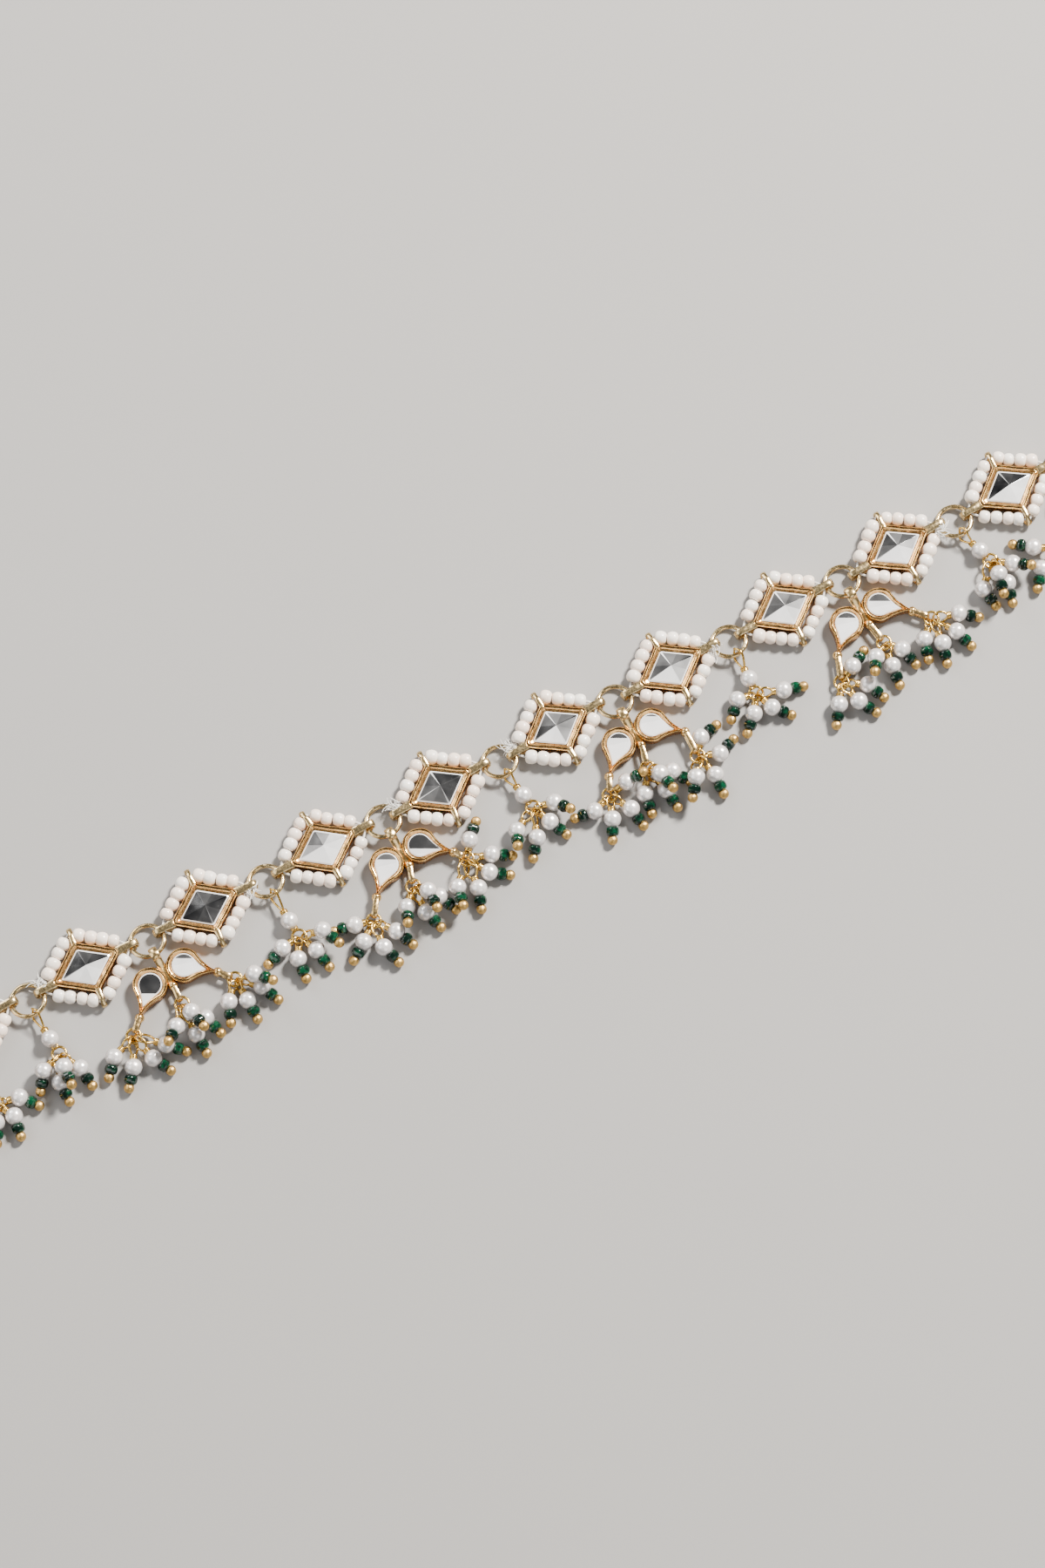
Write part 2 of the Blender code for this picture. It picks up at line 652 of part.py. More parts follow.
def pendant_meshes(eye):
    """A long wire eye on the jump ring, and the pearl between it and the tassel."""
    wire = Vector((0.0, -ring_wire_drop(), ring_wire_z()))
    toward = Vector((eye.x - wire.x, eye.y - wire.y, 0.0))
    pearl = Vector((wire.x, wire.y, 0.0)) + toward * PENDANT_PEARL_SHARE
    pearl.z = PEARL / 2
    ahead = toward.normalized()
    half = PENDANT_EYE_WIDTH / 2
    end = pearl - ahead * (PEARL / 2 * 0.8)
    inner_y = -(PENDANT_EYE_TOP + PENDANT_EYE_WIRE / 2)
    points = (
        end,
        Vector((wire.x, wire.y - half * 0.9, wire.z + half * 0.7)),
        Vector((wire.x, wire.y + half * 0.1, wire.z + half)),
        Vector((wire.x, inner_y, wire.z + half * 0.5)),
        Vector((wire.x, inner_y, wire.z - half * 0.6)),
        Vector((wire.x, wire.y - half * 0.3, wire.z - half)),
    )
    loop = wire_mesh(points, PENDANT_EYE_WIRE, resolution=0, closed=True)
    radius = PEARL / 2
    bead = spindle_mesh(
        ((-radius * 1.15, 0.0), (-radius * 0.66, radius * 0.75), (0.0, radius),
         (radius * 0.66, radius * 0.75), (radius * 1.15, 0.0))
    )
    held = (EYE_RING - EYE_WIRE) / 2
    lower = min(bead.vertices, key=lambda vertex: -vertex.co.x).index
    facing = ahead.to_track_quat("X", "Z").to_matrix().to_4x4()
    bead.transform(Matrix.Translation(pearl) @ facing)
    bead.vertices[lower].co = eye - ahead * held
    return [bead, loop]


def hook_mesh():
    """A ring like the jump rings, and a plain wire hook that leaves it towards -X."""
    ring = jump_ring_mesh()
    start = -(RING_OUTER - RING_WIRE) / 2
    bend = -HOOK_LENGTH + HOOK_BEND_RADIUS
    low = HOOK_WIRE / 2
    points = [
        (start, -RING_SET_DOWN, ring_middle_z()),
        (start - HOOK_SLOPE, -RING_SET_DOWN, low),
    ]
    for index in range(7):
        angle = math.radians(-90 - 30 * index)
        x = start + bend + HOOK_BEND_RADIUS * math.cos(angle)
        y = -RING_SET_DOWN + HOOK_BEND_RADIUS * (1 + math.sin(angle))
        points.append((x, y, low))
    last = points[-1]
    points.append((last[0] + HOOK_BACK, last[1], low))
    return united("hook_clasp", [ring, wire_mesh(points, HOOK_WIRE, resolution=1)])


def link_mesh():
    """A long link in the plane z = 0: a round ring whose halves are moved apart."""
    mesh = ring_mesh(LINK_WIDTH, LINK_WIRE, 10, 5)
    apart = (LINK_LENGTH - LINK_WIDTH) / 2
    for vertex in mesh.vertices:
        vertex.co.x += math.copysign(apart, vertex.co.x)
    return mesh


def chain_mesh():
    """A ring like the jump rings and a run of plain links soldered into one body."""
    link = link_mesh()
    rolled = math.radians(LINK_ROLL)
    middle_z = (LINK_WIDTH - LINK_WIRE) / 2 * math.sin(rolled) + LINK_WIRE / 2
    pitch = LINK_LENGTH - 2 * LINK_WIRE + LINK_OVERLAP
    first = RING_OUTER / 2 + LINK_LENGTH / 2 - 2 * LINK_WIRE + LINK_OVERLAP
    meshes = [jump_ring_mesh()]
    for index in range(CHAIN_LINKS):
        roll = Matrix.Rotation(rolled if index % 2 == 0 else -rolled, 4, "X")
        spot = Matrix.Translation((first + index * pitch, -RING_SET_DOWN, middle_z))
        meshes.append(moved(link, spot @ roll))
    return united("extension_chain", meshes)


def jump_ring_mesh():
    """A jump ring set between two cups, its -Y side lifted by the loops that it passes through."""
    mesh = ring_mesh(RING_OUTER, RING_WIRE, 10, 5)
    tilt = Matrix.Rotation(math.radians(-RING_TILT), 4, "X")
    mesh.transform(Matrix.Translation((0.0, -RING_SET_DOWN, ring_middle_z())) @ tilt)
    return mesh


def row_y(x):
    """The laid row's gentle bow, zero at the origin."""
    return BOW_RISE * (((x - BOW_MIDDLE) / BOW_REACH) ** 2 - (BOW_MIDDLE / BOW_REACH) ** 2)


def setting_x(number):
    return (number - ORIGIN_SETTING) * SETTING_PITCH


def ring_x(number):
    """Rings are numbered from 0, before the first setting, to the count of settings."""
    return (number - ORIGIN_SETTING + 0.5) * SETTING_PITCH


def make_row():
    """Settings, bead borders, jump rings, hook and chain along the row."""
    setting = setting_mesh()
    border = border_mesh()
    for number in range(1, SETTING_COUNT + 1):
        x = setting_x(number)
        spot = (x, row_y(x), 0.0)
        turn = SETTING_TURNS[number - 1]
        place(f"setting_{number:02d}", setting, "antique_gold", spot, turn)
        place(f"bead_border_{number:02d}", border, "ivory_bead", spot, turn)
    ring = jump_ring_mesh()
    for number in range(1, SETTING_COUNT):
        place(f"jump_ring_{number:02d}", ring, "pale_gold", ring_spot(number))
    place("hook_clasp", hook_mesh(), "pale_gold", ring_spot(0))
    place("extension_chain", chain_mesh(), "pale_gold", ring_spot(SETTING_COUNT))


def leaf_eyes(index):
    """The middles of a twin leaf's three tassel eyes, from its ring's middle."""
    numbers = [number * TABLE_UNIT for number in LEAF_EYES[index]]
    return [Vector((numbers[i], numbers[i + 1], EYE_Z)) for i in (0, 2, 4)]


def pendant_eye(index):
    """The middle of a pendant's tassel eye, from its ring's middle."""
    across, along = PENDANT_EYES[index]
    return Vector((across * TABLE_UNIT, along * TABLE_UNIT, EYE_Z))


def ring_spot(number):
    """The point of the row's line that a ring sits on."""
    x = ring_x(number)
    return Vector((x, row_y(x), 0.0))


def all_eyes():
    """Every tassel's eye as a ball that the other tassels' drops keep clear of."""
    middles = []
    for index in range(len(LEAF_EYES)):
        middles += [ring_spot(2 * index) + eye for eye in leaf_eyes(index)]
    for index in range(len(PENDANT_EYES)):
        middles.append(ring_spot(2 * index + 1) + pendant_eye(index))
    return [(middle, EYE_RING / 2) for middle in middles]


def make_leaf(index, pattern, laid):
    """One twin-leaf setting and its three tassels, on every second ring from the first."""
    spot = ring_spot(2 * index)
    eyes = leaf_eyes(index)
    name = f"leaf_setting_{index + 1}"
    place(name, leaf_setting_mesh(eyes), "antique_gold", spot)
    tables = (("left", LEFT_DROPS), ("middle", MIDDLE_DROPS), ("right", RIGHT_DROPS))
    for (side, table), eye in zip(tables, eyes):
        meshes = tassel_meshes(pattern, spot + eye, table[index], laid)
        tassel = united(f"leaf_tassel_{index + 1}_{side}", meshes)
        place(tassel.name, tassel, "pearl")


def make_pendant(index, pattern, laid):
    """One pearl pendant, on every second ring from the second."""
    spot = ring_spot(2 * index + 1)
    eye = pendant_eye(index)
    upper = [moved(mesh, Matrix.Translation(spot)) for mesh in pendant_meshes(eye)]
    meshes = upper + tassel_meshes(pattern, spot + eye, PENDANT_DROPS[index], laid)
    name = f"pearl_pendant_{index + 1}"
    place(name, united(name, meshes), "pearl")


clear_scene()
ANKLET = collection("anklet")
SHAPERS = collection("shapers")
EYE_MESH = ring_mesh(EYE_RING, EYE_WIRE, 6, 5)
DROP = drop_pattern()
CHOICES = lay_choices()
LAID = all_eyes()
make_row()
for leaf in range(len(LEAF_EYES)):
    make_leaf(leaf, DROP, LAID)
for pendant in range(len(PENDANT_EYES)):
    make_pendant(pendant, DROP, LAID)
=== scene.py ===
"""The looks of a beaded anklet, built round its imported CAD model.

Metres, +Z up. +X runs along the row, the tassels point to -Y, and the floor is z = 0."""

import itertools
import math
import random

import bmesh
import bpy
import numpy as np
from mathutils import Matrix, Quaternion, Vector


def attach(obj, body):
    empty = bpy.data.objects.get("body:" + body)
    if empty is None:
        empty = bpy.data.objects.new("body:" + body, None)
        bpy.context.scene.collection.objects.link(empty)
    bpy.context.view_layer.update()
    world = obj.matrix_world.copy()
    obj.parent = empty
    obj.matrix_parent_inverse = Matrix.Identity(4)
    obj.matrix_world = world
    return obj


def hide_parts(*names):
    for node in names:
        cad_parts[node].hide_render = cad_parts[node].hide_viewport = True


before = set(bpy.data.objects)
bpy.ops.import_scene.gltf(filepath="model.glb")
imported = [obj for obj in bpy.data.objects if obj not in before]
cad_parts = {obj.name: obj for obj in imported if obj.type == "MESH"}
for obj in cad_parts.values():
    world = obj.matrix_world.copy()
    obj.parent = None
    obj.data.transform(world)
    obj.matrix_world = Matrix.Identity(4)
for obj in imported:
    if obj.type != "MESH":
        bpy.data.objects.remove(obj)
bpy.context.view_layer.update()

bl_info = {
    "name": "Beaded anklet",
    "version": (1, 0, 0),
    "blender": (4, 5, 0),
    "location": "View3D > Sidebar > Anklet",
    "description": "Builds an anklet of cut-stone settings, seed beads and tassels of pearl drops",
    "category": "Add Mesh",
}

MM = 0.001
ROOT = "root"

# The row, as in the CAD source
SETTING_COUNT = 10
ORIGIN_SETTING = 5
SETTING_PITCH = 19.9 * MM
BOW_RISE = 0.7 * MM
BOW_REACH = 80.0 * MM
BOW_MIDDLE = 20.0 * MM
SETTING_TURNS = (2.0, 0.0, -1.0, 0.0, 2.0, 3.5, 2.5, 1.5, 3.0, 3.5)

# The rhombic setting, as in the CAD source, with its inscribed circle's radius
CUP_HALF_LONG = 5.8 * MM
CUP_HALF_SHORT = 4.33 * MM
CUP_INNER = CUP_HALF_LONG * CUP_HALF_SHORT / math.hypot(CUP_HALF_LONG, CUP_HALF_SHORT)
CUP_HEIGHT = 2.1 * MM
RIM_FLAT = 1.02 * MM
STONE_RISE = 0.55 * MM
LOOP_THICKNESS = 0.42 * MM
LOOP_MIDDLE_Z = 1.05 * MM
LOOP_OPENING = 1.2 * MM
END_LOOP_PLAY = 0.58 * MM
SIDE_LOOP_REACH = 6.6 * MM

# Where a loop starts, as a share of the cup's half size, and widths of the cast loops, which
# are wider than the plain ones of the CAD source
LOOP_ROOT = 0.88
END_LOOP_WIDTH = 1.2 * MM
SIDE_LOOP_WIDTH = 0.85 * MM
LEAF_LOOP_WIDTH = 0.95 * MM

# The stones: how deep they sit, the border that shows round each, and the rhombic stone's
# ridges and point
STONE_SINK = 0.9 * MM
STONE_BORDER = 0.19 * MM
STONE_RIDGE = 0.035
STONE_POINT = (0.15 * MM, 0.12 * MM)

# The threaded border of seed beads: the line that it follows as in the CAD source, its beads,
# and its thread, with how far from a side's two ends the thread starts to bend
BORDER_HALF_LONG = 7.9 * MM
BORDER_HALF_SHORT = 5.95 * MM
BORDER_SIDE = math.hypot(BORDER_HALF_LONG, BORDER_HALF_SHORT)
BORDER_Z = 1.1 * MM
SEED_BEAD = 2.16 * MM
SEED_LENGTH = 1.78 * MM
SEED_FIRST = 1.62 * MM
SEED_PITCH = 1.76 * MM
SEED_PER_SIDE = 4
SEED_WANDER = 0.09 * MM
SEED_LEAN = 9
THREAD = 0.34 * MM
THREAD_BENDS = (0.9 * MM, 1.9 * MM)

# Where the border's thread has frayed: setting, and the end of it, -1 left or 1 right
FRAYS = ((2, -1), (5, -1), (6, -1), (7, 1), (9, 1), (3, 1))
FRAY_THREADS = 30
FRAY_LENGTH = 1.5 * MM

# The jump rings, as in the CAD source, and how high their middles lie
RING_OUTER = 5.9 * MM
RING_WIRE = 0.75 * MM
RING_RADIUS = (RING_OUTER - RING_WIRE) / 2
RING_SET_DOWN = 0.5 * MM
RING_TILT = math.radians(13.0)
RING_MIDDLE_Z = LOOP_MIDDLE_Z + RING_SET_DOWN * math.tan(RING_TILT)
RING_STEPS = 44

# The lowest wire of a jump ring: how far from the row's line in plan, and how high
RING_WIRE_DROP = RING_SET_DOWN + RING_RADIUS * math.cos(RING_TILT)
RING_WIRE_Z = RING_MIDDLE_Z + RING_RADIUS * math.sin(RING_TILT)

# The twin-leaf setting, as in the CAD source
LEAF_JOIN_DROP = 6.0 * MM
LEAF_ROUND_OUT = 2.9 * MM
LEAF_ROUND_DROP = 0.6 * MM
LEAF_ROUND_RADIUS = 2.65 * MM
LEAF_TIP_LENGTH = 5.2 * MM
LEAF_DROOP = 42.0
LEAF_HEIGHT = 2.0 * MM
LEAF_RIM_FLAT = 0.85 * MM
LEAF_TURN = 3.0
JOIN_WIDTH = 1.5 * MM
JOIN_LENGTH = 3.4 * MM
JOIN_HEIGHT = 1.7 * MM
BAIL_WIDTH = 1.25 * MM
BAIL_THICKNESS = 0.5 * MM
BAIL_CLEARANCE = 0.3 * MM
LEAF_LOOP_OPENING = 0.9 * MM
LEAF_LOOP_GAP = 0.15 * MM

# The drops, and the rule that lays them, as in the CAD source
PEARL = 2.7 * MM
GLASS_BEAD = 2.0 * MM
BALL = 1.6 * MM
BEAD_STEP = 1.9 * MM
BALL_STEP = 3.2 * MM
DROP_GAP = 0.06 * MM
TASSEL_GAP = 0.35 * MM
LIFT_STEP = 0.2 * MM
MOST_LIFT = 3.2 * MM
SWING_STEP = 6
MOST_SWING = 30
PIN_FALLS = (1.2 * MM, 0.6 * MM, 0.0, -0.8 * MM, -1.6 * MM)
MOST_BEND = 58.0
LIFT_COST = 24.3 / PEARL
LEVEL_COST = 8.1 / PEARL
EYE_RING = 3.0 * MM
EYE_WIRE = 0.42 * MM
EYE_RADIUS = (EYE_RING - EYE_WIRE) / 2
EYE_Z = LOOP_MIDDLE_Z
PENDANT_EYE_WIDTH = 2.0 * MM
PENDANT_EYE_TOP = 1.95 * MM
PENDANT_EYE_WIRE = 0.4 * MM
PENDANT_PEARL_SHARE = 0.62

# How round things are cut, in rows along the axis and sides round it. A ball's hole flattens
# its ends. A bead's hole has a radius, and its lip is a share of the bead's radius.
PEARL_CUTS = (14, 20)
PEARL_HOLE = 0.05 * MM
BALL_CUTS = (10, 14)
BALL_HOLE = 0.03 * MM
KNOB_CUTS = (8, 12)
GLASS_SIDES = 9
GLASS_HOLE = 0.35 * MM
GLASS_LIP = 0.62
SEED_SIDES = 16
SEED_HOLE = 0.3 * MM
SEED_LIP = 0.42
# Within this radius of a seed bead's axis, in and near its hole, its colour holds painted shade
SEED_HOLE_SHADE_RADIUS = 0.4 * MM

# The angle in degrees above which an edge shows, on castings, facets, glass beads and round things
CAST_EDGE = 40.0
FACET_EDGE = 1.0
GLASS_EDGE = 35.0
ROUND_EDGE = 75.0

# The knob at the root of a leaf's loop, taller than it is wide
TALL_KNOB = Matrix.Diagonal((1.0, 1.0, 1.28, 1.0))

# The wire wrapped over a pearl: where it starts, as a share of the pearl's radius, its turns,
# and its radius by the wire's thickness
COLLAR_START = 0.95
COLLAR_TURNS = 2.4
COLLAR_REACH = 1.15
PENDANT_COLLAR_START = 0.94
PENDANT_COLLAR_TURNS = 3.0
PENDANT_COLLAR_REACH = 1.2

# A drop's wire eye: the least room for it, its tilt in degrees, and how its foot is drawn in
LEAST_EYE = 0.3 * MM
EYE_TILTS = (20, 70)
EYE_SQUEEZE = 0.35
EYE_STEPS = 18
TASSEL_RING_STEPS = 24

# How each kind of cast piece is tinted: shade draws it towards copper and brown, tone towards pale
# plating
END_LOOP_LOOK = {"shade": 0.05, "tone": 1.0}
CLAW_LOOK = {"shade": 0.1, "tone": 0.8}
JOIN_LOOK = {"shade": 0.25}
BAIL_LOOK = {"shade": 0.05, "tone": 0.6}
LEAF_LOOP_LOOK = {"shade": 0.1, "tone": 0.45}
KNOB_LOOK = {"shade": 0.1, "tone": 0.2}

# Where the random draws of each kind of piece start
BORDER_SEED = 100
FRAY_SEED = 300
RING_SEED = 500
LEAF_SEED = 700
TASSEL_SEED = 900

# The hook and the plain chain, as in the CAD source
HOOK_WIRE = 1.0 * MM
HOOK_LENGTH = 11.0 * MM
HOOK_SLOPE = 2.0 * MM
HOOK_BEND_RADIUS = 1.9 * MM
HOOK_BACK = 4.0 * MM
CHAIN_LINKS = 5
LINK_LENGTH = 7.4 * MM
LINK_WIDTH = 4.4 * MM
LINK_WIRE = 0.9 * MM
LINK_OVERLAP = 0.2 * MM
LINK_ROLL = math.radians(45.0)
LINK_STEPS = 36

# The unit of the tables' lengths, as in the CAD source
TABLE_UNIT = PEARL / 2.7

# Twin leaves from left to right: the middles of their three tassels' eyes, from the ring's middle
LEAF_EYES = (
    # left eye x, y, then middle eye x, y, then right eye x, y
    (-8.4, -13.2, -0.6, -11.5, 8.7, -12.6),
    (-8.4, -12.4, 0.2, -11.5, 8.9, -11.9),
    (-8.4, -13.4, -0.7, -11.5, 8.4, -11.6),
    (-7.7, -13.0, -0.6, -12.0, 7.0, -13.9),
    (-7.9, -14.4, 0.9, -12.0, 9.2, -12.1),
    (-7.8, -12.4, 0.2, -11.5, 8.8, -12.0),
)

# Pearl pendants from left to right: the middle of the tassel's eye, from the ring's middle
PENDANT_EYES = ((0.5, -9.9), (0.5, -10.4), (1.1, -9.2), (-0.3, -9.6), (1.8, -8.6))

# Each tassel's drops in the order they were laid down: bearing of the pearl from the eye in
# degrees, its reach, and bearing of the head pin in degrees
PENDANT_DROPS = (
    ((-157, 3.5, -127), (-115, 4.4, -91), (-63, 3.9, -83), (-97, 2.6, -93)),
    ((-172, 3.1, -160), (-120, 3.5, -95), (-67, 3.4, -80), (-18, 3.6, -66)),
    ((-152, 4.4, -116), (-111, 4.8, -129), (-70, 3.4, -65), (-15, 3.3, -58)),
    ((172, 3.1, -135), (-125, 3.3, -137), (-72, 3.3, -48), (-22, 4.2, -15)),
    ((-133, 4.8, -81), (-84, 4.4, -104), (-38, 3.4, -44), (-100, 3.0, -106)),
)
LEFT_DROPS = (
    ((-159, 4.1, -140), (-117, 4.6, -125), (-80, 4.6, -66), (-44, 4.9, -45)),
    ((-159, 4.3, -132), (-117, 4.8, -130), (-77, 4.6, -62), (-44, 5.1, -45)),
    ((165, 3.0, 168), (-142, 3.6, -147), (-98, 4.4, -72), (-54, 3.8, -66)),
    ((9, 3.2, -4), (-160, 3.4, 170), (-112, 3.8, -118), (-62, 3.9, -82)),
    ((27, 3.0, 27), (-125, 3.6, -126), (-84, 4.0, -60), (-34, 4.0, -66)),
    ((148, 4.1, 141), (-161, 4.3, -130), (-105, 4.4, -110), (-60, 4.2, -66)),
)
MIDDLE_DROPS = (
    ((-134, 3.4, -114), (-95, 4.6, -80), (-48, 3.8, -70)),
    ((-128, 3.8, -140), (-93, 5.2, -88), (-60, 4.2, -72), (-74, 2.2, -78)),
    ((-134, 3.4, -114), (-99, 4.5, -72), (-50, 4.3, -66), (-56, 2.6, -92)),
    ((-124, 4.1, -105), (-80, 4.4, -84), (-36, 3.8, -58), (-84, 2.3, -80)),
    ((-146, 2.9, -125), (-107, 3.9, -97), (-50, 2.9, -76)),
    ((-130, 3.6, -120), (-92, 4.8, -88), (-50, 4.2, -62)),
)
RIGHT_DROPS = (
    ((-115, 2.9, -116), (-63, 3.4, -99), (-20, 3.6, -50)),
    ((-132, 3.6, -112), (-93, 3.8, -90), (-56, 4.2, -66), (-22, 3.0, -50)),
    ((-135, 4.8, -102), (-97, 4.9, -110), (-60, 4.0, -34), (-18, 3.8, -30), (54, 2.9, 44)),
    ((-123, 3.9, -128), (-77, 4.0, -94), (-23, 3.4, 20), (52, 2.9, 12)),
    ((-138, 3.6, -107), (-97, 4.3, -106), (-58, 4.3, -72), (-18, 4.2, -37)),
    ((-138, 3.7, -110), (-96, 4.4, -100), (-50, 4.2, -70)),
)

# The painted reflection on each cut stone, 0 dark to 1 white, counter-clockwise: at each corner its
# ridge, a thin painted line, and then the two halves of the facet after it, from the corner on +X
STONE_REFLECTION_TONES = (
    # ridge, half, half, by the corners on +X, +Y, -X, -Y
    (0.02, 0.07, 0.12, 0.30, 0.06, 0.10, 0.30, 0.86, 0.80, 0.85, 0.76, 0.70),
    (0.02, 0.06, 0.12, 0.25, 0.06, 0.10, 0.35, 0.88, 0.80, 0.85, 0.76, 0.68),
    (0.03, 0.10, 0.15, 0.22, 0.13, 0.08, 0.05, 0.05, 0.10, 0.30, 0.12, 0.07),
    (0.60, 0.62, 0.40, 0.20, 0.24, 0.42, 0.70, 0.92, 0.94, 0.90, 0.88, 0.80),
    (0.12, 0.07, 0.06, 0.75, 0.16, 0.22, 0.60, 0.26, 0.22, 0.45, 0.10, 0.08),
    (0.02, 0.22, 0.30, 0.95, 0.22, 0.10, 0.30, 0.95, 0.92, 0.70, 0.40, 0.36),
    (0.02, 0.20, 0.28, 0.95, 0.24, 0.14, 0.25, 0.95, 0.92, 0.75, 0.52, 0.46),
    (0.03, 0.22, 0.30, 1.00, 0.20, 0.14, 0.30, 0.95, 0.93, 0.85, 0.70, 0.52),
    (0.02, 0.14, 0.28, 1.00, 0.10, 0.18, 0.35, 0.95, 0.96, 0.90, 0.80, 0.55),
    (0.02, 0.06, 0.09, 0.50, 0.05, 0.03, 0.10, 0.92, 0.95, 0.92, 0.86, 0.80),
)

# The painted dark reflection strip along the far edge of each leaf's flat stone, left then right
# leaf:
# where it ends, from -1 near edge to 1 far edge, and its tone
LEAF_REFLECTION_STRIPS = (
    # left end, left tone, right end, right tone
    (0.35, 0.20, 0.60, 0.15),
    (-0.85, 0.06, 0.62, 0.20),
    (0.45, 0.25, -0.35, 0.10),
    (0.55, 0.14, 0.80, 0.25),
    (0.50, 0.18, 0.30, 0.20),
    (0.40, 0.16, 0.55, 0.20),
)
FAR_BEARING = 61.7
STRIP_SKEW = 12.0

# The painted light reflection on a leaf's stone, next to the strip and beyond, and the tones of any
# stone's back, sunk side and border
LEAF_REFLECTION_LIGHTS = (0.82, 0.93)
BACK_TONE, SIDE_TONE, BORDER_TONE = 0.5, 0.35, 0.95

# What the camera looks at and where it stands, the floor, and the light
AIM = Vector((11.5, -5.0, 0.0)) * MM
CAMERA_SPOT = Vector((-70.0, -156.4, 665.0)) * MM
CAMERA_LENS = 104.0
FLOOR_SIZE = 6.0
ROOM_COLOUR = (0.90, 0.89, 0.87, 1.0)
LIGHTS = (
    # name, whose power and what share of it, size, where from the aim in metres, colour
    ("key", "key_power", 1.0, 0.22, (0.85, 0.30, 0.85), (1.0, 0.96, 0.90)),
    ("back", "fill_power", 1.0, 0.5, (-0.25, 1.0, 0.6), (1.0, 1.0, 1.0)),
    ("fill", "fill_power", 1.0, 0.9, (-0.9, 0.3, 0.8), (0.97, 0.98, 1.0)),
    ("front", "fill_power", 0.6, 0.8, (0.1, -1.1, 0.8), (1.0, 1.0, 1.0)),
)


class Shape:
    """Points and faces gathered for one mesh, with a shade at each point, a tone on each face."""

    def __init__(self):
        self.points = []
        self.faces = []
        self.shades = []
        self.tones = []
        self.count = 0

    def add(self, body, matrix=None, shade=0.0, tone=0.0):
        """Adds a body of (points, faces). Shade and tone are one number or one for each."""
        points, faces = body
        points = np.asarray(points, float)
        if matrix is not None:
            numbers = np.array(matrix)
            points = points @ numbers[:3, :3].T + numbers[:3, 3]
        self.points.append(points)
        self.faces.extend(tuple(index + self.count for index in face) for face in faces)
        self.shades.append(np.broadcast_to(np.asarray(shade, float), len(points)))
        self.tones.append(np.broadcast_to(np.asarray(tone, float), len(faces)))
        self.count += len(points)

    def piece(self, name, maker, nodes=(), sharp_above=CAST_EDGE):
        """The object of one finish: it rides on the anklet and stands for the nodes named."""
        mesh = bpy.data.meshes.new(name)
        mesh.from_pydata(np.concatenate(self.points).tolist(), [], self.faces)
        shade = mesh.attributes.new("shade", "FLOAT", "POINT")
        shade.data.foreach_set("value", np.concatenate(self.shades).astype(np.float32))
        tone = mesh.attributes.new("tone", "FLOAT", "FACE")
        tone.data.foreach_set("value", np.concatenate(self.tones).astype(np.float32))
        work = bmesh.new()
        work.from_mesh(mesh)
        bmesh.ops.recalc_face_normals(work, faces=work.faces)
        for face in work.faces:
            face.smooth = True
        work.to_mesh(mesh)
        work.free()
        mesh.set_sharp_from_angle(angle=math.radians(sharp_above))
        mesh.materials.append(material(maker))
        made = bpy.data.objects.new(name, mesh)
        bpy.context.scene.collection.objects.link(made)
        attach(made, ROOT)
        if nodes:
            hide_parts(*nodes)
        return made


def turned(rows, sides):
    """A body turned round the X axis from rows of (along, radius), closed where radius is 0."""
    points = []
    faces = []
    rings = []
    for along, radius in rows:
        ring = []
        for side in range(sides if radius > 0 else 1):
            angle = 2 * math.pi * side / sides
            ring.append(len(points))
            points.append((along, radius * math.cos(angle), radius * math.sin(angle)))
        rings.append(ring)
    for low, high in zip(rings, rings[1:]):
        for side in range(sides):
            after = (side + 1) % sides
            around = ((low, side), (low, after), (high, after), (high, side))
            corners = [ring[step % len(ring)] for ring, step in around]
            faces.append(tuple(dict.fromkeys(corners)))
    return points, faces


def wall(sides, rings, closed=False):
    """Faces between rings of as many points as there are sides."""
    faces = []
    for ring in range(rings if closed else rings - 1):
        low = ring * sides
        high = (ring + 1) % rings * sides
        for side in range(sides):
            after = (side + 1) % sides
            faces.append((low + side, low + after, high + after, high + side))
    return faces


def smooth_path(points, per_span, closed=False):
    """A smooth line through the points."""
    points = [Vector(point) for point in points]
    if closed:
        padded = points[-1:] + points + points[:2]
    else:
        padded = points[:1] + points + points[-1:]
    path = []
    for before, start, end, after in zip(padded, padded[1:], padded[2:], padded[3:]):
        for step in range(per_span):
            t = step / per_span
            bend = (end - before) * t + (before * 2 - start * 5 + end * 4 - after) * t**2
            bend += (start * 3 - before - end * 3 + after) * t**3
            path.append(start + bend / 2)
    if not closed:
        path.append(points[-1])
    return path


def swept(path, wide, thick, sides, side_axis=None, closed=False, swell=None, boxy=1.0):
    """A wire or band along the path. Wide and thick are half sizes, swell scales each section."""
    count = len(path)
    points = []
    side = Vector(side_axis) if side_axis is not None else None
    for index, point in enumerate(path):
        before = path[index - 1] if index > 0 or closed else path[index]
        after = path[(index + 1) % count] if index < count - 1 or closed else path[index]
        ahead = (after - before).normalized()
        if side_axis is None:
            if side is None:
                side = ahead.orthogonal().normalized()
            side = (side - ahead * side.dot(ahead)).normalized()
        up = ahead.cross(side).normalized()
        size = swell[index] if swell else 1.0
        for corner in range(sides):
            angle = 2 * math.pi * (corner + 0.5) / sides
            across = math.copysign(abs(math.cos(angle)) ** boxy, math.cos(angle))
            over = math.copysign(abs(math.sin(angle)) ** boxy, math.sin(angle))
            points.append(point + side * (wide * size * across) + up * (thick * size * over))
    faces = wall(sides, count, closed)
    if not closed:
        faces.append(tuple(reversed(range(sides))))
        faces.append(tuple(range((count - 1) * sides, count * sides)))
    return [tuple(point) for point in points], faces


def band(points, width, thickness, swell, sides=10, boxy=0.75, per_span=5):
    """A cast band through points of one x. Swell gives its size from its share of the way."""
    path = smooth_path(points, per_span)
    last = len(path) - 1
    sizes = [swell(index / last) for index in range(last + 1)]
    return swept(path, width / 2, thickness / 2, sides, (1, 0, 0), swell=sizes, boxy=boxy)


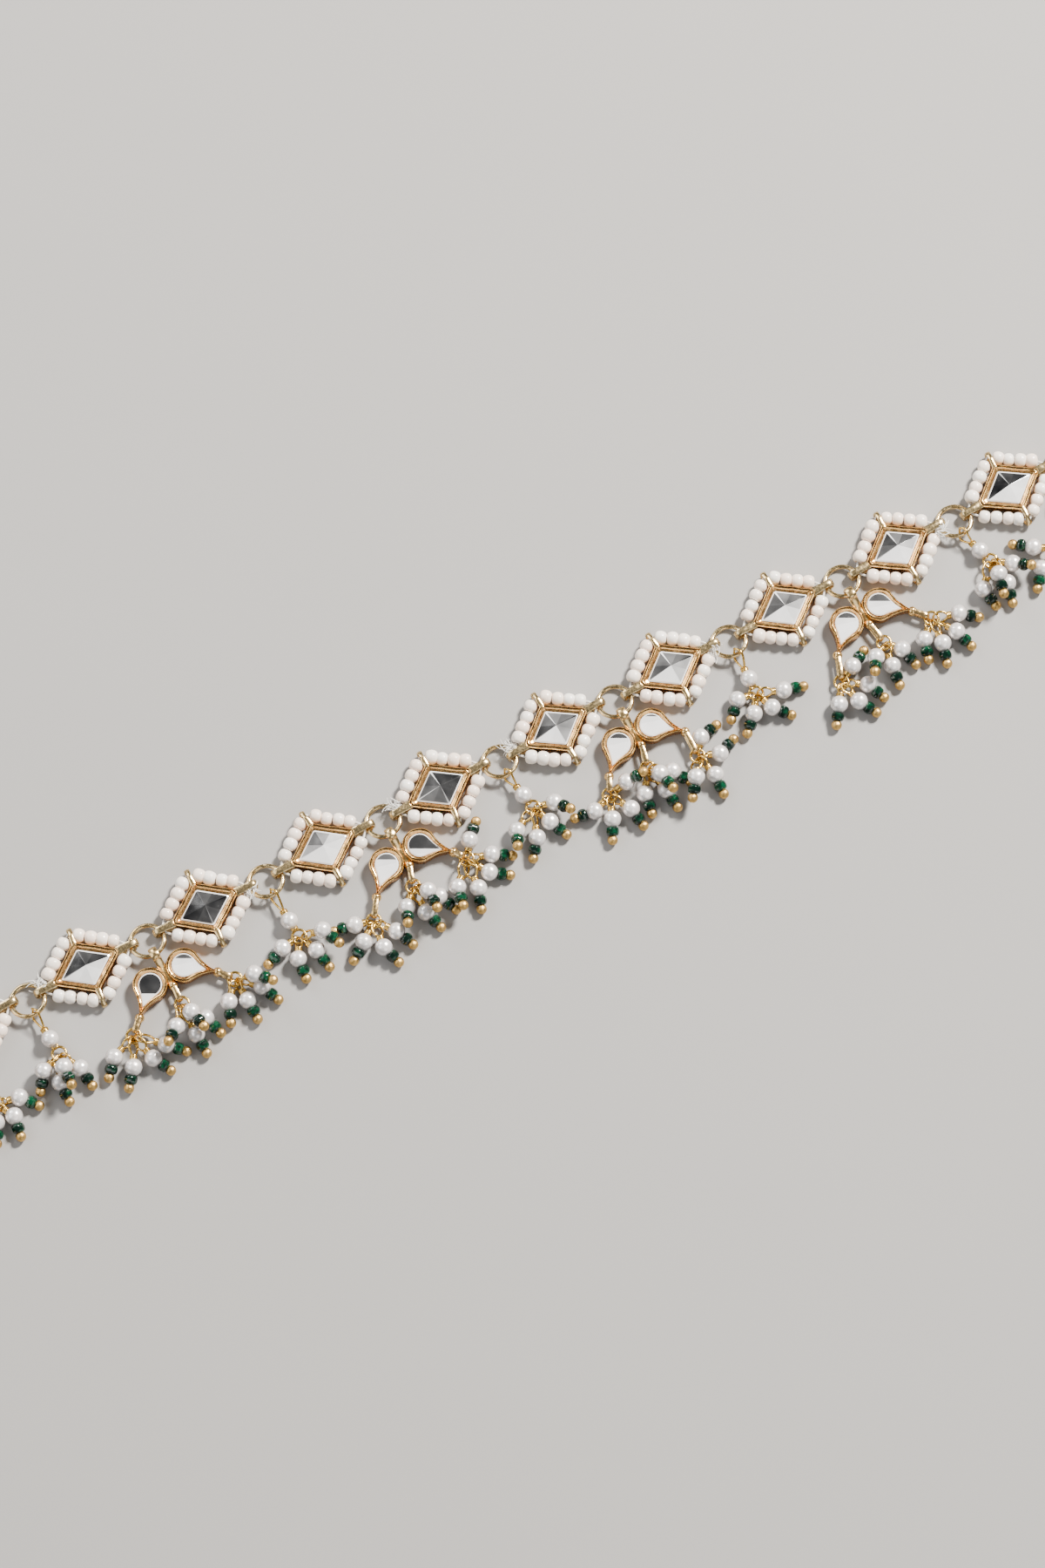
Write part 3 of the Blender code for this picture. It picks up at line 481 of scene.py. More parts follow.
def bent_wire(path, wire, sides, closed=False, swell=None):
    """Round wire along the path."""
    return swept(path, wire / 2, wire / 2, sides, closed=closed, swell=swell)


def circle_path(radius, around, matrix, squeeze=0.0):
    """A round line in the matrix's XY plane, drawn in towards -X where squeeze is given."""
    path = []
    for step in range(around):
        angle = 2 * math.pi * step / around
        pull = 1 - squeeze * max(0.0, -math.cos(angle)) ** 2
        spot = Vector((radius * math.cos(angle), radius * math.sin(angle) * pull, 0.0))
        path.append(matrix @ spot)
    return path


def turned_about_z(degrees):
    return Matrix.Rotation(math.radians(degrees), 4, "Z")


def facing(axis):
    """A turn that brings +X onto the axis."""
    return axis.to_track_quat("X", "Z").to_matrix().to_4x4()


def ball_body(radius, cuts, hole=0.0):
    """A ball on the X axis, flattened where a hole runs through it."""
    count, sides = cuts
    rows = []
    for step in range(count + 1):
        angle = math.pi * step / count
        rows.append((-radius * math.cos(angle), radius * math.sin(angle)))
    rows[0] = (rows[0][0] + hole, 0.0)
    rows[-1] = (rows[-1][0] - hole, 0.0)
    return turned(rows, sides)


def bead_body(radius, length, hole, lip, sides):
    """A rounded bead on the X axis, with hollow ends whose lips are at a share of its radius."""
    half = length / 2
    dimple = ((0.6, 0.0), (0.62, hole), (0.93, hole * 1.15))
    rows = [(-half * along, reach) for along, reach in dimple]
    for step in range(9):
        angle = math.pi * (1 - step / 8)
        reach = lip + (1 - lip) * max(0.0, math.sin(angle)) ** 0.9
        rows.append((half * math.cos(angle), radius * reach))
    rows += [(half * along, reach) for along, reach in reversed(dimple)]
    return turned(rows, sides)


# Where things are


def row_y(x):
    """The laid row's gentle bow, zero at the origin."""
    return BOW_RISE * (((x - BOW_MIDDLE) / BOW_REACH) ** 2 - (BOW_MIDDLE / BOW_REACH) ** 2)


def setting_matrix(number):
    x = (number - ORIGIN_SETTING) * SETTING_PITCH
    turn = turned_about_z(SETTING_TURNS[number - 1])
    return Matrix.Translation((x, row_y(x), 0.0)) @ turn


def ring_spot(number):
    """The point of the row's line that a ring sits on."""
    x = (number - ORIGIN_SETTING + 0.5) * SETTING_PITCH
    return Vector((x, row_y(x), 0.0))


def ring_matrix(number):
    tilt = Matrix.Rotation(-RING_TILT, 4, "X")
    middle = ring_spot(number) + Vector((0.0, -RING_SET_DOWN, RING_MIDDLE_Z))
    return Matrix.Translation(middle) @ tilt


def leaf_eyes(index):
    """The middles of a twin leaf's three tassel eyes, from its ring's middle."""
    numbers = [number * TABLE_UNIT for number in LEAF_EYES[index]]
    return [Vector((numbers[i], numbers[i + 1], EYE_Z)) for i in (0, 2, 4)]


def pendant_eye(index):
    across, along = PENDANT_EYES[index]
    return Vector((across * TABLE_UNIT, along * TABLE_UNIT, EYE_Z))


# How drops lie, as in the CAD source


def direction(bearing):
    angle = math.radians(bearing)
    return Vector((math.cos(angle), math.sin(angle), 0.0))


def held_at(eye, pearl):
    """Where on its tassel's eye ring a drop is held."""
    outward = Vector((pearl.x - eye.x, pearl.y - eye.y, 0.0)).normalized()
    return eye + outward * EYE_RADIUS


def drop_balls(pearl, axis):
    return (
        (pearl, PEARL / 2),
        (pearl + axis * BEAD_STEP, GLASS_BEAD / 2),
        (pearl + axis * BALL_STEP, BALL / 2),
    )


def drop_stem(eye, pearl):
    hold = held_at(eye, pearl)
    return tuple((hold.lerp(pearl, share), PEARL / 2 * share) for share in (0.3, 0.65))


def clear_of(parts, laid, gap):
    for middle, radius in parts:
        for other, other_radius in laid:
            if (middle - other).length < radius + other_radius + gap:
                return False
    return True


def swings():
    turns = range(-MOST_SWING, MOST_SWING + 1, SWING_STEP)
    return sorted(turns, key=abs)


def lay_choices():
    """Every way a drop may lie, the least disturbed first: (lift, swing, pin swing, pin fall)."""
    lifts = [step * LIFT_STEP for step in range(round(MOST_LIFT / LIFT_STEP) + 1)]
    choices = list(itertools.product(lifts, swings(), swings(), PIN_FALLS))

    def cost(choice):
        lift, swing, pin_swing, fall = choice
        raised = lift * LIFT_COST + (PIN_FALLS[0] - fall) * LEVEL_COST
        return raised + abs(swing) + abs(pin_swing)

    return sorted(choices, key=cost)


def lay_drop(eye, row, own, others, choices):
    """Lays a drop on the floor or on its own tassel's drops, clear of the others."""
    bearing, reach, pin_bearing = row
    for lift, swing, pin_swing, pin_fall in choices:
        pearl = eye + direction(bearing + swing) * (reach * TABLE_UNIT)
        pearl.z = PEARL / 2 + lift
        fall = min(pin_fall, pearl.z - BALL / 2)
        level = math.sqrt(BALL_STEP**2 - fall**2)
        along = direction(pin_bearing + pin_swing) * level
        axis = (along - Vector((0.0, 0.0, fall))) / BALL_STEP
        parts = drop_balls(pearl, axis)
        if axis.angle(pearl - held_at(eye, pearl)) > math.radians(MOST_BEND):
            continue
        if not clear_of(parts, own, DROP_GAP):
            continue
        if clear_of(parts + drop_stem(eye, pearl), others, TASSEL_GAP):
            return pearl, axis
    raise ValueError("no room for a drop")


def lay_tassel(eye, rows, laid, choices):
    """Every drop of a tassel as (pearl, axis), in the order they were laid."""
    near = [part for part in laid if EYE_WIRE < (part[0] - eye).length < 5 * PEARL]
    own = []
    drops = []
    for row in rows:
        pearl, axis = lay_drop(eye, row, own, near, choices)
        own.extend(drop_balls(pearl, axis))
        laid.extend(drop_balls(pearl, axis) + drop_stem(eye, pearl))
        drops.append((pearl, axis))
    return drops


def all_tassels():
    """Every tassel as (group, node, eye, drops), the leaves' first, as the CAD source lays them."""
    hung = []
    for index in range(len(LEAF_EYES)):
        tables = (("left", LEFT_DROPS), ("middle", MIDDLE_DROPS), ("right", RIGHT_DROPS))
        for (side, table), eye in zip(tables, leaf_eyes(index)):
            node = f"leaf_tassel_{index + 1}_{side}"
            hung.append((f"leaf_{index + 1}", node, ring_spot(2 * index) + eye, table[index]))
    for index in range(len(PENDANT_EYES)):
        eye = ring_spot(2 * index + 1) + pendant_eye(index)
        node = f"pearl_pendant_{index + 1}"
        hung.append((f"pendant_{index + 1}", node, eye, PENDANT_DROPS[index]))
    laid = [(eye, EYE_RING / 2) for _, _, eye, _ in hung]
    choices = lay_choices()
    return [(group, node, eye, lay_tassel(eye, rows, laid, choices))
            for group, node, eye, rows in hung]


# Shaders


class Signal:
    """A shader socket that can be used in sums."""

    def __init__(self, finish, socket):
        self.finish = finish
        self.socket = socket

    def sum(self, operation, first, second):
        return self.finish.node("ShaderNodeMath", {"operation": operation}, {0: first, 1: second})

    def __add__(self, other):
        return self.sum("ADD", self, other)

    def __radd__(self, other):
        return self.sum("ADD", other, self)

    def __sub__(self, other):
        return self.sum("SUBTRACT", self, other)

    def __rsub__(self, other):
        return self.sum("SUBTRACT", other, self)

    def __mul__(self, other):
        return self.sum("MULTIPLY", self, other)

    def __rmul__(self, other):
        return self.sum("MULTIPLY", other, self)


class Finish:
    """One material: its shader's constants, and a method that adds any node."""

    def __init__(self, name, **constants):
        self.material = bpy.data.materials.new(name)
        self.material.use_nodes = True
        self.tree = self.material.node_tree
        self.shader = self.tree.nodes["Principled BSDF"]
        for socket, value in constants.items():
            self.shader.inputs[socket.replace("_", " ")].default_value = value

    def node(self, kind, settings=None, inputs=None, output=0):
        """Adds a node: its settings first, then the values or links of its sockets."""
        made = self.tree.nodes.new(kind)
        for setting, value in (settings or {}).items():
            setattr(made, setting, value)
        for socket, value in (inputs or {}).items():
            if isinstance(value, Signal):
                self.tree.links.new(value.socket, made.inputs[socket])
            else:
                made.inputs[socket].default_value = value
        return Signal(self, made.outputs[output])

    def places(self):
        """Points in the row frame."""
        return self.node("ShaderNodeTexCoord", output="Object")

    def value(self, name):
        return self.node("ShaderNodeAttribute", {"attribute_name": name}, output="Fac")

    def noise(self, size, detail=3.0, roughness=0.55):
        """Cloudy noise whose features are about as large as told, from 0 to 1."""
        return self.node(
            "ShaderNodeTexNoise",
            inputs={
                "Vector": self.places(),
                "Scale": 1.0 / size,
                "Detail": detail,
                "Roughness": roughness,
            },
        )

    def ranged(self, value, low, high, start=0.0, end=1.0):
        """The value's stretch from low to high, spread smoothly from start to end."""
        return self.node(
            "ShaderNodeMapRange",
            {"interpolation_type": "SMOOTHSTEP"},
            {"Value": value, 1: low, 2: high, 3: start, 4: end},
        )

    def mixed(self, share, first, second):
        """A colour between two, each a colour or a signal."""
        first, second = (
            end if isinstance(end, Signal) else (*end, 1.0) for end in (first, second)
        )
        return self.node(
            "ShaderNodeMix", {"data_type": "RGBA"}, {0: share, 6: first, 7: second}, output=2
        )

    def feed(self, socket, value):
        self.tree.links.new(value.socket, self.shader.inputs[socket])

    def paint(self, share, first, second):
        self.feed("Base Color", self.mixed(share, first, second))

    def dull(self, noise, low, high):
        """Roughness from low to high, as the noise goes."""
        self.feed("Roughness", self.ranged(noise, 0.3, 0.7, low, high))

    def bump(self, height, distance):
        """Relief of the height told, in metres, on the shader's normal."""
        sockets = {"Height": height, "Distance": distance, "Strength": 1.0}
        self.feed("Normal", self.node("ShaderNodeBump", inputs=sockets))


def darker(colour, share):
    return [part * share for part in colour]


def cast_gold(colours):
    """Cast brass gold: bright worn ridges, copper ledges, brown tarnish in grooves and painted
    brown shade in creases.
    """
    finish = Finish("cast_gold", Metallic=1.0, Roughness=0.3)
    cloud = finish.noise(1.4 * MM)
    speck = finish.noise(0.3 * MM, detail=4.0)
    # The shade attribute marks the rims' grooves, and painted shade on the cups' walls and next to
    # the stones; it draws the metal towards copper and then brown
    hollow = finish.value("shade")
    copper = finish.ranged(hollow + (cloud - 0.5) * 0.9, 0.2, 0.6)
    warm = finish.mixed(copper, colours.antique_gold, colours.copper_tint)
    warm = finish.mixed(finish.value("tone"), warm, colours.pale_gold)
    pits = finish.ranged(finish.noise(0.9 * MM, detail=5.0, roughness=0.7), 0.56, 0.7) * 0.35
    # Brown: tarnish in the grooves, and painted shade at the foot of the walls and where the ledge
    # meets the stone
    tarnish = finish.ranged(hollow + pits + (speck - 0.5) * 0.9, 0.6, 0.95)
    finish.paint(tarnish, warm, colours.tarnish)
    finish.feed("Roughness", finish.ranged(speck, 0.3, 0.7, 0.2, 0.32) + tarnish * 0.3)
    finish.bump(finish.noise(1.3 * MM, detail=1.0) + speck * 0.06, 0.13 * MM)
    return finish.material


def champagne_gold(colours):
    """Champagne gold on rings and chain, faintly hammered and worn."""
    finish = Finish("champagne_gold", Metallic=1.0, Roughness=0.2)
    speck = finish.noise(0.3 * MM, detail=4.0)
    worn = finish.ranged(finish.noise(1.2 * MM), 0.45, 0.75)
    plated = finish.mixed(worn, colours.pale_gold, colours.antique_gold)
    stain = finish.ranged(speck * 0.6 + finish.value("shade"), 0.5, 0.95)
    finish.paint(stain, plated, darker(colours.tarnish, 1.3))
    finish.dull(speck, 0.14, 0.3)
    finish.bump(finish.noise(1.5 * MM, detail=1.0) + speck * 0.04, 0.12 * MM)
    return finish.material


def bright_wire(colours):
    """Bright yellow drawn wire."""
    finish = Finish("bright_wire", Metallic=1.0, Roughness=0.2)
    cloud = finish.noise(0.9 * MM)
    share = finish.ranged(cloud, 0.4, 0.65)
    finish.paint(share, colours.wire_gold, darker(colours.wire_gold, 0.72))
    finish.dull(cloud, 0.14, 0.3)
    finish.bump(finish.noise(0.4 * MM, detail=2.0), 0.05 * MM)
    return finish.material


def satin_gold(colours):
    """Satin brass balls with fine pits."""
    finish = Finish("satin_gold", Metallic=1.0, Roughness=0.36)
    pits = finish.noise(0.16 * MM, detail=3.0)
    share = finish.ranged(finish.noise(0.8 * MM), 0.35, 0.7)
    finish.paint(share, colours.satin_gold, darker(colours.satin_gold, 0.74))
    finish.dull(pits, 0.3, 0.46)
    finish.bump(pits + finish.noise(0.6 * MM) * 1.5, 0.045 * MM)
    return finish.material


def ivory_glass(colours):
    """Opaque ivory glass, each bead a little warmer or whiter than the next, with painted shade in
    its hole.
    """
    finish = Finish("ivory_glass", Roughness=0.3, Coat_Weight=0.35, Coat_Roughness=0.12)
    finish.shader.inputs["Subsurface Weight"].default_value = 0.12
    finish.shader.inputs["Subsurface Radius"].default_value = (1.0, 0.8, 0.6)
    finish.shader.inputs["Subsurface Scale"].default_value = 0.6 * MM
    streak = finish.noise(0.9 * MM, detail=3.0)
    share = finish.ranged(finish.value("tone") * 0.75 + streak * 0.4, 0.1, 0.95)
    bead = finish.mixed(share, colours.ivory, colours.ivory_warm)
    # Painted shade in the beads' holes, darker warm ivory
    finish.paint(finish.value("shade"), bead, darker(colours.ivory_warm, 0.55))
    finish.dull(finish.noise(0.5 * MM), 0.24, 0.42)
    finish.bump(finish.noise(0.7 * MM, detail=2.0), 0.05 * MM)
    return finish.material


def pearl_lustre(colours):
    """Pearl lustre: silvery white with rosy patches, and a darker sheen at the rim, painted into
    its colour.
    """
    finish = Finish(
        "pearl_lustre", Roughness=0.3, Metallic=0.4, Coat_Weight=0.6, Coat_Roughness=0.1
    )
    cloud = finish.noise(1.3 * MM, detail=2.0)
    edge = finish.node("ShaderNodeLayerWeight", inputs={"Blend": 0.35}, output="Facing")
    body = finish.mixed(finish.ranged(cloud, 0.35, 0.65), colours.pearl, colours.pearl_rose)
    finish.paint(edge * 0.8, body, colours.pearl_shade)
    finish.dull(cloud, 0.22, 0.34)
    finish.bump(finish.noise(0.7 * MM, detail=2.0), 0.06 * MM)
    return finish.material


def emerald_glass(colours):
    """Deep green glass with brighter patches, which lets a little light through."""
    finish = Finish("emerald_glass", Roughness=0.12, IOR=1.5, Transmission_Weight=0.12)
    cloud = finish.noise(0.7 * MM, detail=2.0)
    share = finish.ranged(finish.value("tone") * 0.25 + cloud, 0.38, 0.72)
    finish.paint(share, colours.glass, colours.glass_deep)
    finish.bump(finish.noise(0.6 * MM, detail=2.0), 0.02 * MM)
    return finish.material


def silvered_glass(colours):
    """Silver-backed cut glass, painted with reflections: each facet shows a darker or lighter part
    of a room.
    """
    finish = Finish("silvered_glass", Roughness=0.08)
    cloud = finish.noise(2.2 * MM, detail=1.0)
    # Painted reflection: each face's tone, a faint cloud and small painted glints
    painted_glints = finish.ranged(finish.noise(0.3 * MM, detail=3.0), 0.66, 0.74) * 0.10
    share = finish.value("tone") + (cloud - 0.5) * 0.22 + painted_glints
    finish.paint(share, colours.stone_dark, colours.stone_light)
    finish.feed("Metallic", finish.ranged(share, 0.1, 0.8, 0.75, 0.12))
    finish.dull(cloud, 0.05, 0.14)
    finish.bump(finish.noise(1.6 * MM, detail=1.0), 0.02 * MM)
    return finish.material


def white_thread(colours):
    """White twisted thread."""
    finish = Finish("white_thread", Roughness=0.8)
    twist = finish.noise(0.12 * MM, detail=3.0)
    finish.paint(twist, colours.thread, darker(colours.thread, 0.72))
    finish.bump(twist, 0.04 * MM)
    return finish.material


def pale_floor(colours):
    """A plain pale sheet with a faint mottle."""
    finish = Finish("pale_floor", Roughness=0.75)
    mottle = finish.noise(40 * MM, detail=2.0)
    finish.paint(mottle, colours.floor, darker(colours.floor, 0.97))
    return finish.material


def material(maker):
    """The material that a maker makes, made when it is first asked for."""
    found = bpy.data.materials.get(maker.__name__)
    return found or maker(bpy.context.scene.anklet_colours)


# Shapes of the anklet's own pieces


def cup_corners():
    """The rhombus's four corners, counter-clockwise from the one on +X."""
    ends = ((1, 0), (0, 1), (-1, 0), (0, -1))
    return [Vector((CUP_HALF_LONG * x, CUP_HALF_SHORT * y)) for x, y in ends]


def cup_outline(corner, per_corner=5, per_side=9):
    """The cup's rhombus with rounded corners, counter-clockwise."""
    share = 1 - corner / CUP_INNER
    lean = math.atan2(CUP_HALF_LONG, CUP_HALF_SHORT)
    bounds = (-lean, lean, math.pi - lean, math.pi + lean, 2 * math.pi - lean)
    arcs = []
    for middle, start, end in zip(cup_corners(), bounds, bounds[1:]):
        arc = []
        for step in range(per_corner):
            angle = start + (end - start) * step / (per_corner - 1)
            arc.append(middle * share + Vector((math.cos(angle), math.sin(angle))) * corner)
        arcs.append(arc)
    outline = []
    for arc, following in zip(arcs, arcs[1:] + arcs[:1]):
        outline += arc
        for step in range(1, per_side):
            outline.append(arc[-1].lerp(following[0], step / per_side))
    return outline


def flank(start, end, touch, hollow, count):
    """Points between start and end, drawn in towards (0, 0) from the touching point."""
    points = []
    for step in range(1, count):
        share = step / count
        drawn = touch.normalized() * (hollow * math.sin(math.pi * share))
        points.append(start.lerp(end, share) - drawn)
    return points


def leaf_outline(hollow, per_arc=25, per_flank=10):
    """A teardrop round (0, 0) with its tip on +X and flanks drawn in a little."""
    touch = math.acos(LEAF_ROUND_RADIUS / LEAF_TIP_LENGTH)
    tip = Vector((LEAF_TIP_LENGTH, 0.0))
    arc = []
    for step in range(per_arc):
        angle = touch + (2 * math.pi - 2 * touch) * step / (per_arc - 1)
        arc.append(Vector((math.cos(angle), math.sin(angle))) * LEAF_ROUND_RADIUS)
    lower = flank(arc[-1], tip, arc[-1], hollow, per_flank)
    upper = flank(tip, arc[0], arc[0], hollow, per_flank)
    return arc + lower + [tip] + upper


def lofted(outline, inner, rows, wave, seed):
    """Rings on the outline, set in and raised by rows of (inward, height, shade), closed."""
    chance = random.Random(seed)
    phases = [chance.uniform(0, 2 * math.pi) for _ in range(4)]
    count = len(outline)
    points = []
    shades = []
    for inward, height, shade in rows:
        for index, corner in enumerate(outline):
            angle = 2 * math.pi * index / count
            ripple = math.sin(5 * angle + phases[0]) + math.sin(11 * angle + phases[1])
            lift = math.sin(7 * angle + phases[2]) + math.sin(17 * angle + phases[3])
            free = min(1.0, height / CUP_HEIGHT)
            share = 1 - (inward + wave * 0.5 * ripple * free) / inner
            points.append((corner.x * share, corner.y * share, height + wave * lift * free**4))
            shades.append(shade)
    faces = [tuple(reversed(range(count)))] + wall(count, len(rows))
    faces.append(tuple(range((len(rows) - 1) * count, len(rows) * count)))
    return (points, faces), shades


def rim_rows(height, flat, groove):
    """A cup's wall, its grooved rim and the ledge down to its stone: (inward, height, shade)."""
    edge = 0.56 * MM
    ledge = flat - edge
    return (
        # The wall, with painted shade that deepens towards its foot
        (0.12 * MM, 0.0, 0.9),
        (0.03 * MM, 0.10 * MM, 0.8),
        (0.0, 0.40 * MM, 0.4),
        (0.06 * MM, 0.85 * MM, 0.7),
        (0.07 * MM, height - 0.70 * MM, 0.75),
        (0.0, height - 0.45 * MM, 0.3),
        (0.0, height - 0.25 * MM, 0.05),
        (0.05 * MM, height - 0.08 * MM, 0.0),
        (0.14 * MM, height, 0.0),
        # The groove, dark with tarnish
        (0.20 * MM, height - 0.04 * MM, 0.4),
        (0.24 * MM, height - groove, 1.0),
        (0.31 * MM, height - groove, 1.0),
        (0.35 * MM, height - 0.04 * MM, 0.4),
        (0.40 * MM, height - 0.01 * MM, 0.0),
        (0.49 * MM, height - 0.05 * MM, 0.0),
        (edge, height - 0.26 * MM, 0.6),
        (edge + ledge * 0.35, height - 0.38 * MM, 0.35),
        (edge + ledge * 0.70, height - 0.44 * MM, 0.45),
        # Painted shade next to the stone
        (edge + ledge * 0.95, height - 0.50 * MM, 1.0),
        (flat + 0.05 * MM, height - 0.70 * MM, 1.0),
    )


def end_loop_reach():
    """How far a cup's end loop reaches, past the wire of the jump ring that it holds."""
    ring_inside = SETTING_PITCH / 2 - (RING_OUTER / 2 - RING_WIRE)
    return ring_inside + END_LOOP_PLAY + LOOP_THICKNESS


def loop_points(start, reach, opening):
    """A long loop in the plane x = 0 that leaves at y = start and turns back at y = reach."""
    half = (opening + LOOP_THICKNESS) / 2
    end = reach - LOOP_THICKNESS / 2
    shoulder = end - half * 0.5
    halfway = (start + shoulder) / 2
    rows = (
        # y, then height over the loop's middle as a share of its half opening
        (start, 0.9),
        (halfway, 1.02),
        (shoulder, 0.95),
        (end, 0.0),
        (shoulder, -0.95),
        (halfway, -1.0),
        (start, -1.0),
    )
    return [(0.0, y, LOOP_MIDDLE_Z + half * share) for y, share in rows]


def end_loop(width, seed):
    """A cast bail from the cup's corner over the jump ring and back below, as a body on +Y."""
    chance = random.Random(seed)

    def swell(share):
        waist = math.sin(math.pi * min(1.0, share * 1.6))
        return 1.15 - 0.25 * waist + chance.uniform(-0.04, 0.04)

    points = loop_points(CUP_HALF_LONG * LOOP_ROOT, end_loop_reach(), LOOP_OPENING)
    return band(points, width, LOOP_THICKNESS, swell)


def claw(seed):
    """A narrow claw from the cup's side corner over the thread and down, as a body on +Y."""
    chance = random.Random(seed)
    over = LOOP_MIDDLE_Z + (LOOP_OPENING + LOOP_THICKNESS) / 2
    end = SIDE_LOOP_REACH - LOOP_THICKNESS / 2
    lean = chance.uniform(-0.35, 0.35) * MM
    points = (
        (0.0, CUP_HALF_SHORT * LOOP_ROOT, over * 0.98),
        (lean * 0.3, CUP_HALF_SHORT * 1.12, over * 1.04),
        (lean * 0.7, end - 0.9 * MM, over * 1.02),
        (lean, end, over * 0.72),
        (lean, end - 0.05 * MM, over * 0.4),
        (lean * 0.8, end - 0.6 * MM, LOOP_THICKNESS / 2),
        (lean * 0.6, end - 1.4 * MM, LOOP_THICKNESS / 2),
    )

    def swell(share):
        return 1.1 - 0.3 * math.sin(math.pi * min(1.0, 1.8 * share))

    return band(points, SIDE_LOOP_WIDTH, LOOP_THICKNESS, swell, sides=8, boxy=0.85)


def stone_edge_tones(count):
    """The tones of a stone's back, its sunk side and its bright border."""
    return [BACK_TONE] + [SIDE_TONE] * count + [BORDER_TONE] * count


def rhombus_stone(tones):
    """A pyramid-cut stone as (body, tones): a bright bevel, four halved facets, four ridges, with
    painted reflections.
    """
    outside = 1 - (RIM_FLAT - 0.02 * MM) / CUP_INNER
    inside = outside - STONE_BORDER / CUP_INNER
    rings = (
        (outside, CUP_HEIGHT - STONE_SINK),
        (outside, CUP_HEIGHT - 0.40 * MM),
        (inside, CUP_HEIGHT - 0.26 * MM),
    )
    corners = cup_corners()
    around = []
    for before, corner, following in zip(
        corners[-1:] + corners, corners, corners[1:] + corners[:1]
    ):
        around.append(corner.lerp(before, STONE_RIDGE))
        around.append(corner.lerp(following, STONE_RIDGE))
        around.append((corner + following) / 2)
    points = []
    for share, height in rings:
        points += [(spot.x * share, spot.y * share, height) for spot in around]
    points.append((*STONE_POINT, CUP_HEIGHT + STONE_RISE * 0.8))
    count = len(around)
    faces = [tuple(reversed(range(count)))] + wall(count, len(rings))
    lights = stone_edge_tones(count)
    for side in range(count):
        faces.append((2 * count + side, 2 * count + (side + 1) % count, 3 * count))
        lights.append(tones[side])
    return (points, faces), lights


def split(polygon, normal, reach):
    """The parts of a polygon of 2-D points beyond and before a straight line."""
    beyond = []
    before = []
    for start, end in zip(polygon, polygon[1:] + polygon[:1]):
        here = start.dot(normal) - reach
        there = end.dot(normal) - reach
        (beyond if here >= 0 else before).append(start)
        if (here >= 0) != (there >= 0):
            crossing = start.lerp(end, here / (here - there))
            beyond.append(crossing)
            before.append(crossing)
    return beyond, before


def leaf_stone(strip_end, strip_tone, far):
    """A flat teardrop stone as (body, tones), with a painted dark reflection strip on the side that
    far points to.
    """
    outline = leaf_outline(0.1 * MM, per_arc=17, per_flank=4)
    inset = LEAF_RIM_FLAT - 0.02 * MM
    rows = (
        (inset, LEAF_HEIGHT - STONE_SINK),
        (inset, LEAF_HEIGHT - 0.40 * MM),
        (inset + STONE_BORDER, LEAF_HEIGHT - 0.28 * MM),
    )
    count = len(outline)
    points = []
    for inward, height in rows:
        share = 1 - inward / LEAF_ROUND_RADIUS
        points += [(corner.x * share, corner.y * share, height) for corner in outline]
    faces = [tuple(reversed(range(count)))] + wall(count, len(rows))
    lights = stone_edge_tones(count)
    top = [Vector(point[:2]) for point in points[-count:]]
    radius = top[0].length
    skewed = Matrix.Rotation(math.radians(STRIP_SKEW), 2) @ far
    dark, rest = split(top, far, strip_end * radius)
    middle, light = split(rest, skewed, (strip_end - 0.5) * radius)
    for polygon, tone in zip((dark, middle, light), (strip_tone, *LEAF_REFLECTION_LIGHTS)):
        if len(polygon) < 3:
            continue
        first = len(points)
        points += [(point.x, point.y, rows[-1][1]) for point in polygon]
        faces.append(tuple(range(first, len(points))))
        lights.append(tone)
    return (points, faces), lights


def leaf_matrix(index):
    """From a twin leaf's own frame to the row's, turned about the wire that it hangs from."""
    hold = Matrix.Translation((0.0, -RING_WIRE_DROP, 0.0))
    turn = hold @ turned_about_z(LEAF_TURN) @ hold.inverted()
    return Matrix.Translation(ring_spot(2 * index)) @ turn


def leaf_cup_matrix(side):
    """From one leaf's own frame to the twin leaf's. Its tip points outwards and down."""
    middle = (side * LEAF_ROUND_OUT, -LEAF_JOIN_DROP - LEAF_ROUND_DROP, 0.0)
    pointing = -LEAF_DROOP if side > 0 else 180 + LEAF_DROOP
    return Matrix.Translation(middle) @ turned_about_z(pointing)


def leaf_roots():
    """Where a twin leaf's three loops start: left tip, middle, right tip."""
    tip = Vector((LEAF_TIP_LENGTH, 0.0, 0.0))
    middle = Vector((0.0, -LEAF_JOIN_DROP - JOIN_LENGTH * 0.7, 0.0))
    return leaf_cup_matrix(-1) @ tip, middle, leaf_cup_matrix(1) @ tip


def join_body():
    """The cast web between the two leaves."""
    low = -LEAF_JOIN_DROP - JOIN_LENGTH * 0.72
    high = -LEAF_JOIN_DROP + JOIN_LENGTH * 0.22
    middle = JOIN_HEIGHT * 0.5
    points = (
        (0.0, high, middle * 1.1),
        (0.0, high * 0.7 + low * 0.3, middle * 1.15),
        (0.0, high * 0.35 + low * 0.65, middle),
        (0.0, low, middle * 1.05),
    )

    def swell(share):
        return 0.8 + 0.35 * math.sin(math.pi * share)

    return band(points, JOIN_WIDTH, JOIN_HEIGHT * 0.85, swell, sides=12, boxy=0.8, per_span=4)


